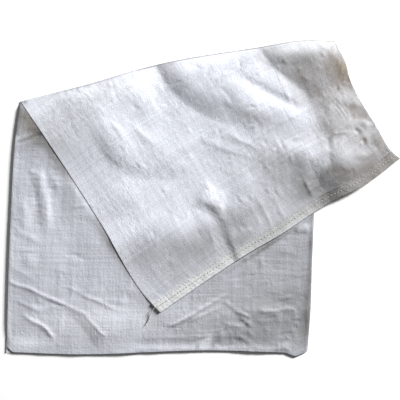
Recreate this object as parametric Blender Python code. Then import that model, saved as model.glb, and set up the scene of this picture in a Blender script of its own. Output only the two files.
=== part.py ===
"""Empty cement sack of woven polypropylene, lying flat and folded over once.

The sack is one tube of two plies. Its mouth is open, its far end is turned back as a hem
and sewn. The mouth half lies on the floor; the sewn half is folded over it along an
oblique line, and reaches past its right side.

Metres, +Z up. The origin is under the middle of the object, on the floor. +X runs along
the longest side, from the mouth's left corner towards the hem's right corner.
"""
import bmesh
import bpy
import numpy as np

MM = 0.001

# The cloth
WALL = 0.4 * MM
SIDE_HALF_THICKNESS = 1.5 * MM
FLAP_HALF_THICKNESS = 1.3 * MM
HEM_HALF_THICKNESS = 0.65 * MM
PLY_CLEARANCE = 0.8 * MM

# The mouth, which stands a little open between its corners
MOUTH_RISE = 2.4 * MM
MOUTH_DEPTH = 220.0 * MM
LOWER_PLY_REACH = 7.0 * MM

# The fold over, a soft half roll that grows from the left to the right
ROLL_RADIUS_LEFT = 5.0 * MM
ROLL_RADIUS_RIGHT = 9.0 * MM
SETTLE_LEFT = 90.0 * MM
SETTLE_RIGHT = 140.0 * MM
OVERHANG_DROP = 60.0 * MM

# The hem
HEM_ROLL_RADIUS = 0.9 * MM
HEM_WIDTH_LEFT = 21.0 * MM
HEM_WIDTH_RIGHT = 13.0 * MM
HEM_TAPER = 25.0 * MM
SEAM_INSET = 0.5

# Outline seen from above, in millimetres from the origin, left to right and mouth to hem
MOUTH = ((-325.0, -256.0), (-206.0, -260.0), (-6.0, -252.5), (173.0, -248.5))
FOLD = ((-302.5, 160.0), (-191.0, 188.0), (-81.0, 218.5), (89.0, 248.0), (174.0, 260.2), (216.0, 258.5))
HEM = ((-70.5, -189.5), (26.0, -123.5), (61.0, -100.5), (130.5, -59.5), (209.0, -8.5), (264.0, 19.5), (325.7, 65.0))
BASE_LEFT = ((-325.0, -256.0), (-323.0, -139.5), (-318.0, -11.5), (-311.5, 94.0), (-302.5, 160.0))
BASE_RIGHT = ((173.0, -248.5), (178.0, -189.5), (181.0, -104.5), (185.0, -26.5), (198.0, 110.5), (216.0, 258.5))
FLAP_LEFT = ((-302.5, 160.0), (-266.5, 107.5), (-171.5, -38.5), (-88.0, -171.5), (-70.5, -189.5))
FLAP_RIGHT = (
    (216.0, 258.5), (234.0, 223.5), (242.0, 196.5), (255.0, 171.0), (284.0, 123.0), (315.0, 73.5), (325.7, 65.0),
)

# Soft billows of the flap: middle (x, y), half length, half width, height, in millimetres,
# and the direction of the crest in degrees from +X
BILLOWS = (
    ((-30.0, 140.0), 70.0, 16.0, 5.0, -38.0),
    ((70.0, 130.0), 90.0, 14.0, 6.0, -18.0),
    ((165.0, 200.0), 55.0, 16.0, 6.0, -48.0),
    ((235.0, 165.0), 35.0, 18.0, 7.0, -60.0),
    ((250.0, 75.0), 45.0, 16.0, 5.0, 25.0),
    ((20.0, -20.0), 60.0, 18.0, 4.0, -65.0),
    ((-120.0, 40.0), 60.0, 22.0, 3.0, -50.0),
)

# The thread
THREAD_DIAMETER = 1.2 * MM
THREAD_GAP = 0.4 * MM
SEAM_POINTS = 34
TAIL_POINTS = 14

# How finely the cloth is divided
COLUMNS = 12
BASE_ROWS = 13
ROLL_STEPS = 7
FLAP_ROWS = 15
HEM_ROLL_STEPS = 4
STRIP_ROWS = 3
NOSE_ANGLES = np.radians((0.0, 45.0, 90.0))

CLOTH_COLOUR = (0.66, 0.67, 0.70, 1.0)
THREAD_COLOUR = (0.74, 0.74, 0.73, 1.0)


def clear_scene():
    """Removes whatever the scene holds."""
    for item in list(bpy.context.scene.objects):
        bpy.data.objects.remove(item, do_unlink=True)


def ease(share):
    """A smooth step from 0 to 1."""
    share = np.clip(share, 0.0, 1.0)
    return share * share * (3.0 - 2.0 * share)


def curve(outline, share):
    """Points of a smooth curve through an outline's points, at shares of its length."""
    knots = np.array(outline) * MM
    steps = np.linalg.norm(np.diff(knots, axis=0), axis=1)
    places = np.concatenate(([0.0], np.cumsum(steps))) / steps.sum()
    slopes = np.gradient(knots, places, axis=0)
    span = np.clip(np.searchsorted(places, share, side="right") - 1, 0, len(steps) - 1)
    width = (places[span + 1] - places[span])[..., None]
    u = (share - places[span])[..., None] / width
    value = (2 * u**3 - 3 * u**2 + 1) * knots[span] + (u**3 - 2 * u**2 + u) * width * slopes[span]
    return value + (3 * u**2 - 2 * u**3) * knots[span + 1] + (u**3 - u**2) * width * slopes[span + 1]


def tangent(outline, share):
    """Unit directions of a curve in plan."""
    step = 0.002
    ahead = curve(outline, np.clip(share + step, 0.0, 1.0)) - curve(outline, np.clip(share - step, 0.0, 1.0))
    return ahead / np.linalg.norm(ahead, axis=-1, keepdims=True)


def patch(start, end, left, right, across, along):
    """A point of the sheet in plan, blended from the four curves around it."""
    a = across[..., None]
    v = along[..., None]
    lengthwise = (1 - v) * curve(start, across) + v * curve(end, across)
    crosswise = (1 - a) * curve(left, along) + a * curve(right, along)
    corners = (1 - a) * (1 - v) * np.array(start[0]) + a * (1 - v) * np.array(start[-1])
    corners = corners + (1 - a) * v * np.array(end[0]) + a * v * np.array(end[-1])
    return lengthwise + crosswise - corners * MM


def base_plan(across, along):
    """Plan position on the half that lies on the floor, from the mouth to the fold."""
    return patch(MOUTH, FOLD, BASE_LEFT, BASE_RIGHT, across, along)


def flap_plan(across, along):
    """Plan position on the half that is folded over, from the fold to the hem."""
    return patch(FOLD, HEM, FLAP_LEFT, FLAP_RIGHT, across, along)


def base_across(plan):
    """How far across the floor half a plan position lies, 0 at its left side, 1 at its right."""
    height = (plan[..., 1] - MOUTH[0][1] * MM) / ((FOLD[-1][1] - MOUTH[0][1]) * MM)
    left = curve(BASE_LEFT, np.clip(height * 1.2, 0.0, 1.0))[..., 0]
    right = curve(BASE_RIGHT, np.clip(height, 0.0, 1.0))[..., 0]
    return (plan[..., 0] - left) / (right - left)


def base_half_thickness(plan):
    """Half the thickness of the floor half: flat, but for its mouth."""
    across = base_across(plan)
    plateau = ease(across / 0.22) * ease((1.0 - across) / 0.22)
    depth = plan[..., 1] - MOUTH[1][1] * MM
    return SIDE_HALF_THICKNESS + MOUTH_RISE * plateau * (1.0 - ease(depth / MOUTH_DEPTH))


def billow_height(plan):
    """Height of the soft billows at a plan position."""
    total = np.zeros(plan.shape[:-1])
    for middle, half_length, half_width, height, angle in BILLOWS:
        turn = np.radians(angle)
        offset = plan - np.array(middle) * MM
        lengthwise = offset[..., 0] * np.cos(turn) + offset[..., 1] * np.sin(turn)
        crosswise = offset[..., 1] * np.cos(turn) - offset[..., 0] * np.sin(turn)
        fall = (lengthwise / (half_length * MM)) ** 2 + (crosswise / (half_width * MM)) ** 2
        total = total + height * MM * np.exp(-fall)
    return total


class Fold:
    """Sizes of the sack along its fold and hem, one value for each place across it."""

    def __init__(self, across):
        self.across = across
        step = 0.001
        whole = np.ones_like(across)
        self.base_length = np.linalg.norm(base_plan(across, whole) - base_plan(across, 0 * whole), axis=-1)
        self.flap_length = np.linalg.norm(flap_plan(across, whole) - flap_plan(across, 0 * whole), axis=-1)
        along_fold = tangent(FOLD, across)
        self.out = np.stack((-along_fold[..., 1], along_fold[..., 0]), axis=-1)
        along_hem = tangent(HEM, across)
        self.down = np.stack((along_hem[..., 1], -along_hem[..., 0]), axis=-1)
        self.radius = ROLL_RADIUS_LEFT + (ROLL_RADIUS_RIGHT - ROLL_RADIUS_LEFT) * across
        reach = self.radius + FLAP_HALF_THICKNESS
        arriving = (base_plan(across, whole) - base_plan(across, whole - step)) / step
        leaving = (flap_plan(across, 0 * whole + step) - flap_plan(across, 0 * whole)) / step
        arriving_out = np.sum(arriving * self.out, axis=-1)
        leaving_in = -np.sum(leaving * self.out, axis=-1)
        self.base_end = 1.0 - reach / arriving_out
        self.flap_start = reach / leaving_in
        at_hem = (flap_plan(across, whole) - flap_plan(across, whole - step)) / step
        at_hem_down = np.sum(at_hem * self.down, axis=-1)
        self.flap_end = 1.0 - (HEM_ROLL_RADIUS + HEM_HALF_THICKNESS) / at_hem_down
        hem_width = HEM_WIDTH_LEFT + (HEM_WIDTH_RIGHT - HEM_WIDTH_LEFT) * across
        self.hem_share = hem_width / at_hem_down

    def flap_half_thickness(self, along):
        """Half the thickness of the flap, pressed flat by the seam near the hem."""
        from_hem = (self.flap_end - along - self.hem_share) * self.flap_length
        return HEM_HALF_THICKNESS + (FLAP_HALF_THICKNESS - HEM_HALF_THICKNESS) * ease(from_hem / HEM_TAPER)

    def flap_middle(self, along):
        """The flap's middle sheet: over the roll it is high, further on it rests on the floor half."""
        plan = flap_plan(self.across, along)
        overhang = (base_across(plan) - 1.0) * (BASE_RIGHT[1][0] - BASE_LEFT[1][0]) * MM
        support = 2.0 * base_half_thickness(plan) * (1.0 - ease(overhang / OVERHANG_DROP))
        rest = support + PLY_CLEARANCE + self.flap_half_thickness(along) + billow_height(plan)
        start = base_half_thickness(base_plan(self.across, self.base_end)) + 2.0 * self.radius
        settle = SETTLE_LEFT + (SETTLE_RIGHT - SETTLE_LEFT) * self.across
        risen = 1.0 - ease((along - self.flap_start) * self.flap_length / settle)
        height = rest + np.maximum(start - rest, 0.0) * risen
        return np.concatenate((plan, height[..., None]), axis=-1)

    def base_row(self, share):
        """One row of the floor half, from the mouth at 0 to the roll at 1."""
        plan = base_plan(self.across, share * self.base_end)
        half = base_half_thickness(plan)
        return np.concatenate((plan, half[..., None]), axis=-1), half

    def roll_row(self, angle):
        """One row of the half roll of the fold."""
        arrival = base_plan(self.across, self.base_end)
        departure = flap_plan(self.across, self.flap_start)
        plan = arrival + (departure - arrival) * angle / np.pi
        plan = plan + (self.radius * np.sin(angle))[..., None] * self.out
        start = base_half_thickness(arrival)
        height = start + self.radius * (1.0 - np.cos(angle))
        half = start + (FLAP_HALF_THICKNESS - start) * angle / np.pi
        return np.concatenate((plan, height[..., None]), axis=-1), half

    def flap_row(self, share):
        """One row of the flap, from the roll at 0 to the hem at 1."""
        along = self.flap_start + share * (self.flap_end - self.flap_start)
        return self.flap_middle(along), self.flap_half_thickness(along)

    def hem_roll_row(self, angle):
        """One row of the hem's tight turn, up and back over the flap."""
        middle = self.flap_middle(self.flap_end)
        middle[..., :2] += HEM_ROLL_RADIUS * np.sin(angle) * self.down
        middle[..., 2] += HEM_ROLL_RADIUS * (1.0 - np.cos(angle))
        return middle, np.full_like(self.across, HEM_HALF_THICKNESS)

    def strip_row(self, share, short=0.0):
        """One row of the turned-back hem, which stops short of its end by a length."""
        along = self.flap_end - share * self.hem_share + short / self.flap_length
        middle = self.flap_middle(along)
        middle[..., 2] += 2.0 * HEM_ROLL_RADIUS
        return middle, np.full_like(self.across, HEM_HALF_THICKNESS)


def columns():
    """Places across the sack, and how far each ply stands off the middle sheet there."""
    width = (BASE_RIGHT[1][0] - BASE_LEFT[1][0]) * MM
    nose = SIDE_HALF_THICKNESS * (1.0 - np.cos(NOSE_ANGLES)) / width
    inner = np.linspace(nose[-1], 1.0 - nose[-1], COLUMNS + 1)[1:-1]
    across = np.concatenate((nose, inner, 1.0 - nose[::-1]))
    stand_off = np.concatenate((np.sin(NOSE_ANGLES), np.ones(len(inner)), np.sin(NOSE_ANGLES[::-1])))
    return across, stand_off


def sheet_rows(fold):
    """The middle sheet's rows from the mouth to the sewn end, with half thickness and stand-off."""
    rows = []
    for share in np.linspace(0.0, 1.0, BASE_ROWS):
        rows.append((*fold.base_row(share), 1.0))
    for angle in np.linspace(0.0, np.pi, ROLL_STEPS + 1)[1:-1]:
        rows.append((*fold.roll_row(angle), 1.0))
    for share in np.linspace(0.0, 1.0, FLAP_ROWS):
        rows.append((*fold.flap_row(share), 1.0))
    for angle in np.linspace(0.0, np.pi, HEM_ROLL_STEPS + 1)[1:-1]:
        rows.append((*fold.hem_roll_row(angle), 1.0))
    for share in np.linspace(0.0, 1.0, STRIP_ROWS)[:-1]:
        rows.append((*fold.strip_row(share), 1.0))
    for angle in NOSE_ANGLES[::-1]:
        short = HEM_HALF_THICKNESS * (1.0 - np.cos(angle))
        rows.append((*fold.strip_row(1.0, short), np.sin(angle)))
    return rows


def plies():
    """Both plies as grids of points: the upper ply of the floor half first."""
    across, side_off = columns()
    rows = sheet_rows(Fold(across))
    middle = np.array([row[0] for row in rows])
    half = np.array([row[1] * row[2] for row in rows]) * side_off
    normal = np.cross(np.gradient(middle, axis=1), np.gradient(middle, axis=0))
    normal = normal / np.linalg.norm(normal, axis=-1, keepdims=True)
    upper = middle + normal * half[..., None]
    lower = middle - normal * half[..., None]
    lower[: BASE_ROWS - 1, side_off == 1.0, 2] = 0.0
    reach = ease((across - 0.4) / 0.5) * ease((1.0 - across) / 0.02)
    lower[0, :, 1] -= LOWER_PLY_REACH * reach
    return upper, lower


def link(name, data, colour, roughness):
    """Adds an object with its own material to the scene."""
    item = bpy.data.objects.new(name, data)
    bpy.context.scene.collection.objects.link(item)
    material = bpy.data.materials.new(name + "_finish")
    material.use_nodes = True
    shader = material.node_tree.nodes["Principled BSDF"]
    shader.inputs["Base Color"].default_value = colour
    shader.inputs["Roughness"].default_value = roughness
    data.materials.append(material)
    return item


def make_sack():
    """The fabric: a grid wrapped round as a tube, closed at the hem, with a wall."""
    upper, lower = plies()
    ring = np.concatenate((upper, lower[:, -2::-1]), axis=1)
    rows, around = ring.shape[0], ring.shape[1]
    cloth = bmesh.new()
    bmesh.ops.create_grid(cloth, x_segments=around - 1, y_segments=rows - 1, size=0.5)
    for vertex in cloth.verts:
        column = round((vertex.co.x + 0.5) * (around - 1))
        row = round((vertex.co.y + 0.5) * (rows - 1))
        vertex.co = ring[row, column]
    bmesh.ops.remove_doubles(cloth, verts=cloth.verts, dist=0.01 * MM)
    bmesh.ops.recalc_face_normals(cloth, faces=cloth.faces)
    bmesh.ops.triangulate(cloth, faces=cloth.faces)
    mesh = bpy.data.meshes.new("woven_sack")
    cloth.to_mesh(mesh)
    cloth.free()
    mesh.shade_smooth()
    sack = link("woven_sack", mesh, CLOTH_COLOUR, 0.5)
    wall = sack.modifiers.new("wall", "SOLIDIFY")
    wall.thickness = WALL
    wall.offset = -1.0
    return sack


def make_thread(name, points):
    """A thread along a list of points, as a thin tube with closed ends."""
    thread = bpy.data.curves.new(name, "CURVE")
    thread.dimensions = "3D"
    thread.bevel_depth = THREAD_DIAMETER / 2.0
    thread.bevel_resolution = 2
    thread.use_fill_caps = True
    line = thread.splines.new("POLY")
    line.points.add(len(points) - 1)
    for point, place in zip(line.points, points):
        point.co = (*place, 1.0)
    return link(name, thread, THREAD_COLOUR, 0.7)


def seam_line():
    """Points of the seam, along the middle of the turned-back hem and just above it."""
    across, side_off = columns()
    middle, half = Fold(across).strip_row(SEAM_INSET)
    middle[..., 2] += half + THREAD_DIAMETER / 2.0 + THREAD_GAP
    places = np.linspace(across[1], across[-2], SEAM_POINTS)
    return np.stack([np.interp(places, across, middle[..., axis]) for axis in range(3)], axis=-1)


# The loose end of the thread, in millimetres: it leaves the seam at the hem's left corner,
# drops over the edge and lies on the floor half
TAIL = (
    (-79.1, -180.8, 11.3), (-82.5, -183.5, 10.7), (-84.5, -188.0, 8.8), (-87.0, -194.5, 7.9),
    (-89.0, -201.0, 8.0), (-92.0, -208.0, 8.3),
)


def main():
    """Builds the sack and its thread."""
    clear_scene()
    make_sack()
    make_thread("seam_thread", seam_line())
    tail = np.array(TAIL) * MM
    shares = np.linspace(0.0, 1.0, TAIL_POINTS)
    flat = curve([point[:2] for point in TAIL], shares)
    height = np.interp(shares, np.linspace(0.0, 1.0, len(TAIL)), tail[:, 2])
    make_thread("thread_tail", np.concatenate((flat, height[:, None]), axis=-1))


main()
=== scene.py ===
"""Looks of an empty cement sack of woven polypropylene, folded over once on a pale floor.

The sack is one tube of two plies. Its mouth is open, its sewn end lies folded over its mouth
half along an oblique line. This file follows the outlines of the part's source at a fine pitch,
with a thinner roll at the fold and a flatter mouth. It presses the photograph's creases into
the cloth, and dresses it in its weave, its seam and its thread. Metres, +Z up, in the frame of
the CAD model.
"""
import logging
from dataclasses import dataclass, field
from enum import Enum

import bmesh
import bpy
import numpy as np
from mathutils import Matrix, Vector


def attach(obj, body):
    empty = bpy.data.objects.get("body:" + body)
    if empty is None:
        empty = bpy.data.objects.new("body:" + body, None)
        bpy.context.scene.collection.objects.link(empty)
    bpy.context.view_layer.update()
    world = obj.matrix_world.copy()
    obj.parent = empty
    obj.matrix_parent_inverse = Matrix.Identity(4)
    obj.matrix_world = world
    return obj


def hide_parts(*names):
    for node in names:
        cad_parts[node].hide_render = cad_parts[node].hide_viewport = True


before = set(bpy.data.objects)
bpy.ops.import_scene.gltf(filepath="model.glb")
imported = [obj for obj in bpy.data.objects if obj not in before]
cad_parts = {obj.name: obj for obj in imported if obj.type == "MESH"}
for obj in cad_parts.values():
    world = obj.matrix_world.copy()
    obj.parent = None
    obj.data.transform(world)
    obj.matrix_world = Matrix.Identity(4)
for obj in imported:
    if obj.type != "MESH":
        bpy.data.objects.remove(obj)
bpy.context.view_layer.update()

LOG = logging.getLogger("cement_sack")
MM = 0.001
ROOT = "root"

Socket = bpy.types.NodeSocket
Settings = dict[str | int, object]
Links = dict[str | int, Socket]


def ease(share: np.ndarray | float) -> np.ndarray:
    """A smooth step: 0 below a share of 0, 1 above a share of 1."""
    share = np.clip(share, 0.0, 1.0)
    return share * share * (3.0 - 2.0 * share)


def linear(code: str, alpha: float = 1.0) -> tuple[float, float, float, float]:
    """Turns an sRGB hex value into the linear colour that a shader takes.

    Args:
        code: Six hex digits after a number sign.
        alpha: Opacity that goes with it.

    Returns:
        Linear red, green, blue and alpha.
    """
    parts = [int(code[place:place + 2], 16) / 255.0 for place in (1, 3, 5)]
    red, green, blue = (c / 12.92 if c <= 0.04045 else ((c + 0.055) / 1.055) ** 2.4 for c in parts)
    return red, green, blue, alpha


def smooth_line(knots: np.ndarray, share: np.ndarray) -> np.ndarray:
    """Points of a smooth curve through a few knots.

    Args:
        knots: Positions, one row each.
        share: Shares of the curve's length, from 0 to 1.

    Returns:
        One position for each share.
    """
    steps = np.linalg.norm(np.diff(knots, axis=0), axis=1)
    places = np.concatenate(([0.0], np.cumsum(steps))) / steps.sum()
    slopes = np.gradient(knots, places, axis=0)
    span = np.clip(np.searchsorted(places, share, side="right") - 1, 0, len(steps) - 1)
    width = (places[span + 1] - places[span])[..., None]
    u = (share - places[span])[..., None] / width
    value = (2 * u**3 - 3 * u**2 + 1) * knots[span] + (u**3 - 2 * u**2 + u) * width * slopes[span]
    return value + (3 * u**2 - 2 * u**3) * knots[span + 1] + (u**3 - u**2) * width * slopes[span + 1]


@dataclass(frozen=True)
class Outline:
    """A smooth line seen from above.

    Fields:
        knots: Plan points that it passes through, in millimetres from the origin.
    """

    knots: tuple[tuple[float, float], ...]

    def at(self, share: np.ndarray) -> np.ndarray:
        """Plan positions in metres at shares of the line's length."""
        return smooth_line(np.array(self.knots) * MM, share)

    def heading(self, share: np.ndarray) -> np.ndarray:
        """Finds which way the line runs.

        Args:
            share: Shares of its length, from 0 to 1.

        Returns:
            Unit directions.
        """
        step = 0.002
        ahead = self.at(np.clip(share + step, 0.0, 1.0)) - self.at(np.clip(share - step, 0.0, 1.0))
        return ahead / np.linalg.norm(ahead, axis=-1, keepdims=True)

    def end(self, last: bool) -> np.ndarray:
        """The line's first or last knot in metres."""
        return np.array(self.knots[-1 if last else 0]) * MM

    def outside(self, plan: np.ndarray, count: int = 48) -> np.ndarray:
        """Distance from the line, positive on its right hand side.

        Args:
            plan: Plan positions in metres, one row each.
            count: How many straight pieces stand for the line.

        Returns:
            Signed distances in metres.
        """
        places = self.at(np.linspace(0.0, 1.0, count + 1))
        _, side, distance = nearest(plan, places)
        return np.where(side < 0.0, distance, -distance)


def nearest(plan: np.ndarray, line: np.ndarray) -> tuple[np.ndarray, np.ndarray, np.ndarray]:
    """Finds the nearest spot on a line of straight pieces.

    Args:
        plan: Plan positions, one row each.
        line: The line's corners, one row each.

    Returns:
        Share of the line's length, side (positive to the left of the line's direction), and
        distance, one value each for every position.
    """
    lengths = np.linalg.norm(np.diff(line, axis=0), axis=1)
    done = np.concatenate(([0.0], np.cumsum(lengths)))
    distance = np.full(len(plan), np.inf)
    side = np.zeros(len(plan))
    share = np.zeros(len(plan))
    for index, length in enumerate(lengths):
        step = (line[index + 1] - line[index]) / length
        offset = plan - line[index]
        run = np.clip(offset @ step, 0.0, length)
        gap = offset - run[:, None] * step
        reach = np.hypot(gap[:, 0], gap[:, 1])
        closer = reach < distance
        distance = np.where(closer, reach, distance)
        side = np.where(closer, step[0] * offset[:, 1] - step[1] * offset[:, 0], side)
        share = np.where(closer, (done[index] + run) / done[-1], share)
    return share, side, distance


# The relief of the cloth


class Crown(Enum):
    """How a crease meets its crest."""

    SHARP = "sharp"
    ROUND = "round"
    FACET = "facet"
    DOME = "dome"


@dataclass(frozen=True)
class Crease:
    """A ridge or a valley in the cloth, along a line seen from above. All in millimetres.

    Fields:
        line: Plan points from the origin.
        height: How far its crest stands up; a valley's is negative.
        left: Width of the flank on the left of its direction.
        right: Width of the flank on its right.
        crown: How the flanks meet.
        start: Share of its length over which it grows.
        end: Share of its length over which it dies out.
    """

    line: tuple[tuple[float, float], ...]
    height: float
    left: float
    right: float
    crown: Crown = Crown.SHARP
    start: float = 0.3
    end: float = 0.3

    def lift(self, plan: np.ndarray, total: np.ndarray) -> None:
        """Adds the crease to a table of heights.

        Args:
            plan: Plan positions in millimetres, one row each.
            total: Heights in millimetres, changed in place.
        """
        pieces, hollow = 4, 0.25
        knots = np.array(self.line, dtype=float)
        if len(knots) > 2:
            knots = smooth_line(knots, np.linspace(0.0, 1.0, pieces * (len(knots) - 1) + 1))
        reach = max(self.left, self.right)
        near = np.all((plan > knots.min(axis=0) - reach) & (plan < knots.max(axis=0) + reach), axis=-1)
        near = np.flatnonzero(near)
        if not len(near):
            return
        share, side, distance = nearest(plan[near], knots)
        away = np.clip(distance / np.where(side > 0.0, self.left, self.right), 0.0, 1.0)
        soft = (1.0 - away * away) ** 2
        if self.crown is Crown.SHARP:
            profile = (1.0 - away) ** 2
        elif self.crown is Crown.ROUND:
            profile = soft
        elif self.crown is Crown.FACET:
            profile = (1.0 - away) * (1.0 - hollow * away) + hollow * away * (1.0 - away) ** 2
        else:
            profile = np.where(side > 0.0, soft, 1.0 - away * away)
        grown = ease(share / self.start) * ease((1.0 - share) / self.end)
        total[near] += self.height * profile * grown


@dataclass(frozen=True)
class Crumple:
    """Many small creases that handling has pressed into the cloth. All in millimetres.

    Fields:
        seed: Start of the random draws.
        count: How many creases.
        low: Lower left plan corner of the cloth that they cover.
        high: Upper right plan corner.
        lengths: Shortest and longest.
        widths: Narrowest and widest flank.
        heights: Lowest and highest crest.
        grain: Directions that they favour, in degrees from +X.
        stray: How far they stray from these directions, in degrees.
        bend: How far they bend, as a share of their length.
        signs: What their heights are multiplied by, so that one in three is a valley.
        fade: Share of their length over which they grow and die out.
    """

    seed: int
    count: int
    low: tuple[float, float]
    high: tuple[float, float]
    lengths: tuple[float, float]
    widths: tuple[float, float]
    heights: tuple[float, float]
    grain: tuple[float, ...]
    stray: float
    bend: float = 0.08
    signs: tuple[float, ...] = (-1.0, 1.0, 1.0)
    fade: float = 0.45

    def creases(self) -> list[Crease]:
        """Draws the creases.

        Returns:
            Straight creases, the same ones on each run.
        """
        draw = np.random.default_rng(self.seed)
        made = []
        for _ in range(self.count):
            x, y = draw.uniform(self.low, self.high)
            turn = np.radians(draw.choice(self.grain) + draw.normal(0.0, self.stray))
            length = self.lengths[0] + (self.lengths[1] - self.lengths[0]) * draw.random() ** 2
            left, right = draw.uniform(*self.widths, size=2)
            height = self.heights[0] + (self.heights[1] - self.heights[0]) * draw.random() ** 2
            height *= draw.choice(self.signs)
            bend = draw.normal(0.0, self.bend) * length
            run = np.array((np.cos(turn), np.sin(turn))) * length / 2.0
            across = np.array((-run[1], run[0])) / (length / 2.0) * bend
            middle = np.array((x, y))
            line = tuple(map(tuple, (middle - run, middle + across, middle + run)))
            made.append(Crease(line, height, left, right, Crown.SHARP, self.fade, self.fade))
        return made


@dataclass(frozen=True)
class Waves:
    """Soft unevenness of cloth that doesn't lie quite flat. All in millimetres.

    Fields:
        seed: Start of the random draws.
        count: How many waves are laid over each other.
        lengths: Shortest and longest wave.
        height: Height of the whole, about its middle.
        falloff: Power by which shorter waves are lower; at 1 all are equally steep.
    """

    seed: int
    count: int
    lengths: tuple[float, float]
    height: float
    falloff: float = 0.7

    def lift(self, plan: np.ndarray, total: np.ndarray) -> None:
        """Adds the waves to a table of heights.

        Args:
            plan: Plan positions in millimetres, one row each.
            total: Heights in millimetres, changed in place.
        """
        draw = np.random.default_rng(self.seed)
        for _ in range(self.count):
            length = np.exp(draw.uniform(*np.log(self.lengths)))
            turn, phase = draw.uniform(0.0, 2.0 * np.pi, size=2)
            along = plan[:, 0] * np.cos(turn) + plan[:, 1] * np.sin(turn)
            share = self.height * np.sqrt(2.0 / self.count) * (length / self.lengths[1]) ** self.falloff
            total += share * np.sin(2.0 * np.pi * along / length + phase)


@dataclass(frozen=True)
class Ripples:
    """A patch of fine wrinkles side by side. All in millimetres.

    Fields:
        middle: Plan middle of the patch.
        half_length: Half its length along the wrinkles.
        half_width: Half its width across them.
        angle: Direction of the wrinkles, in degrees from +X.
        pitch: Distance from wrinkle to wrinkle.
        height: Height of a wrinkle.
        sway: How far the wrinkles sway from a straight line, as a share of their length.
        bends: How often they sway.
    """

    middle: tuple[float, float]
    half_length: float
    half_width: float
    angle: float
    pitch: float
    height: float
    sway: float = 0.06
    bends: float = 2.0

    def lift(self, plan: np.ndarray, total: np.ndarray) -> None:
        """Adds the wrinkles to a table of heights.

        Args:
            plan: Plan positions in millimetres, one row each.
            total: Heights in millimetres, changed in place.
        """
        turn = np.radians(self.angle)
        offset = plan - np.array(self.middle)
        along = offset[:, 0] * np.cos(turn) + offset[:, 1] * np.sin(turn)
        across = offset[:, 1] * np.cos(turn) - offset[:, 0] * np.sin(turn)
        fade = np.exp(-((along / self.half_length) ** 2) - (across / self.half_width) ** 2)
        bent = across + self.sway * along * np.sin(along / self.half_length * self.bends)
        total += self.height * fade * np.sin(2.0 * np.pi * bent / self.pitch)


@dataclass(frozen=True)
class Relief:
    """All that lifts one half of the cloth off its plain shape.

    Fields:
        parts: Creases, crumples, waves and ripples.
    """

    parts: tuple[Crease | Crumple | Waves | Ripples, ...]

    def height(self, plan: np.ndarray) -> np.ndarray:
        """Height of the relief.

        Args:
            plan: Plan positions in metres, in an array of any shape.

        Returns:
            Heights in metres, in an array of that shape.
        """
        flat = plan.reshape(-1, 2) / MM
        total = np.zeros(len(flat))
        for part in self.parts:
            for crease in part.creases() if isinstance(part, Crumple) else (part,):
                crease.lift(flat, total)
        return total.reshape(plan.shape[:-1]) * MM


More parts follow.
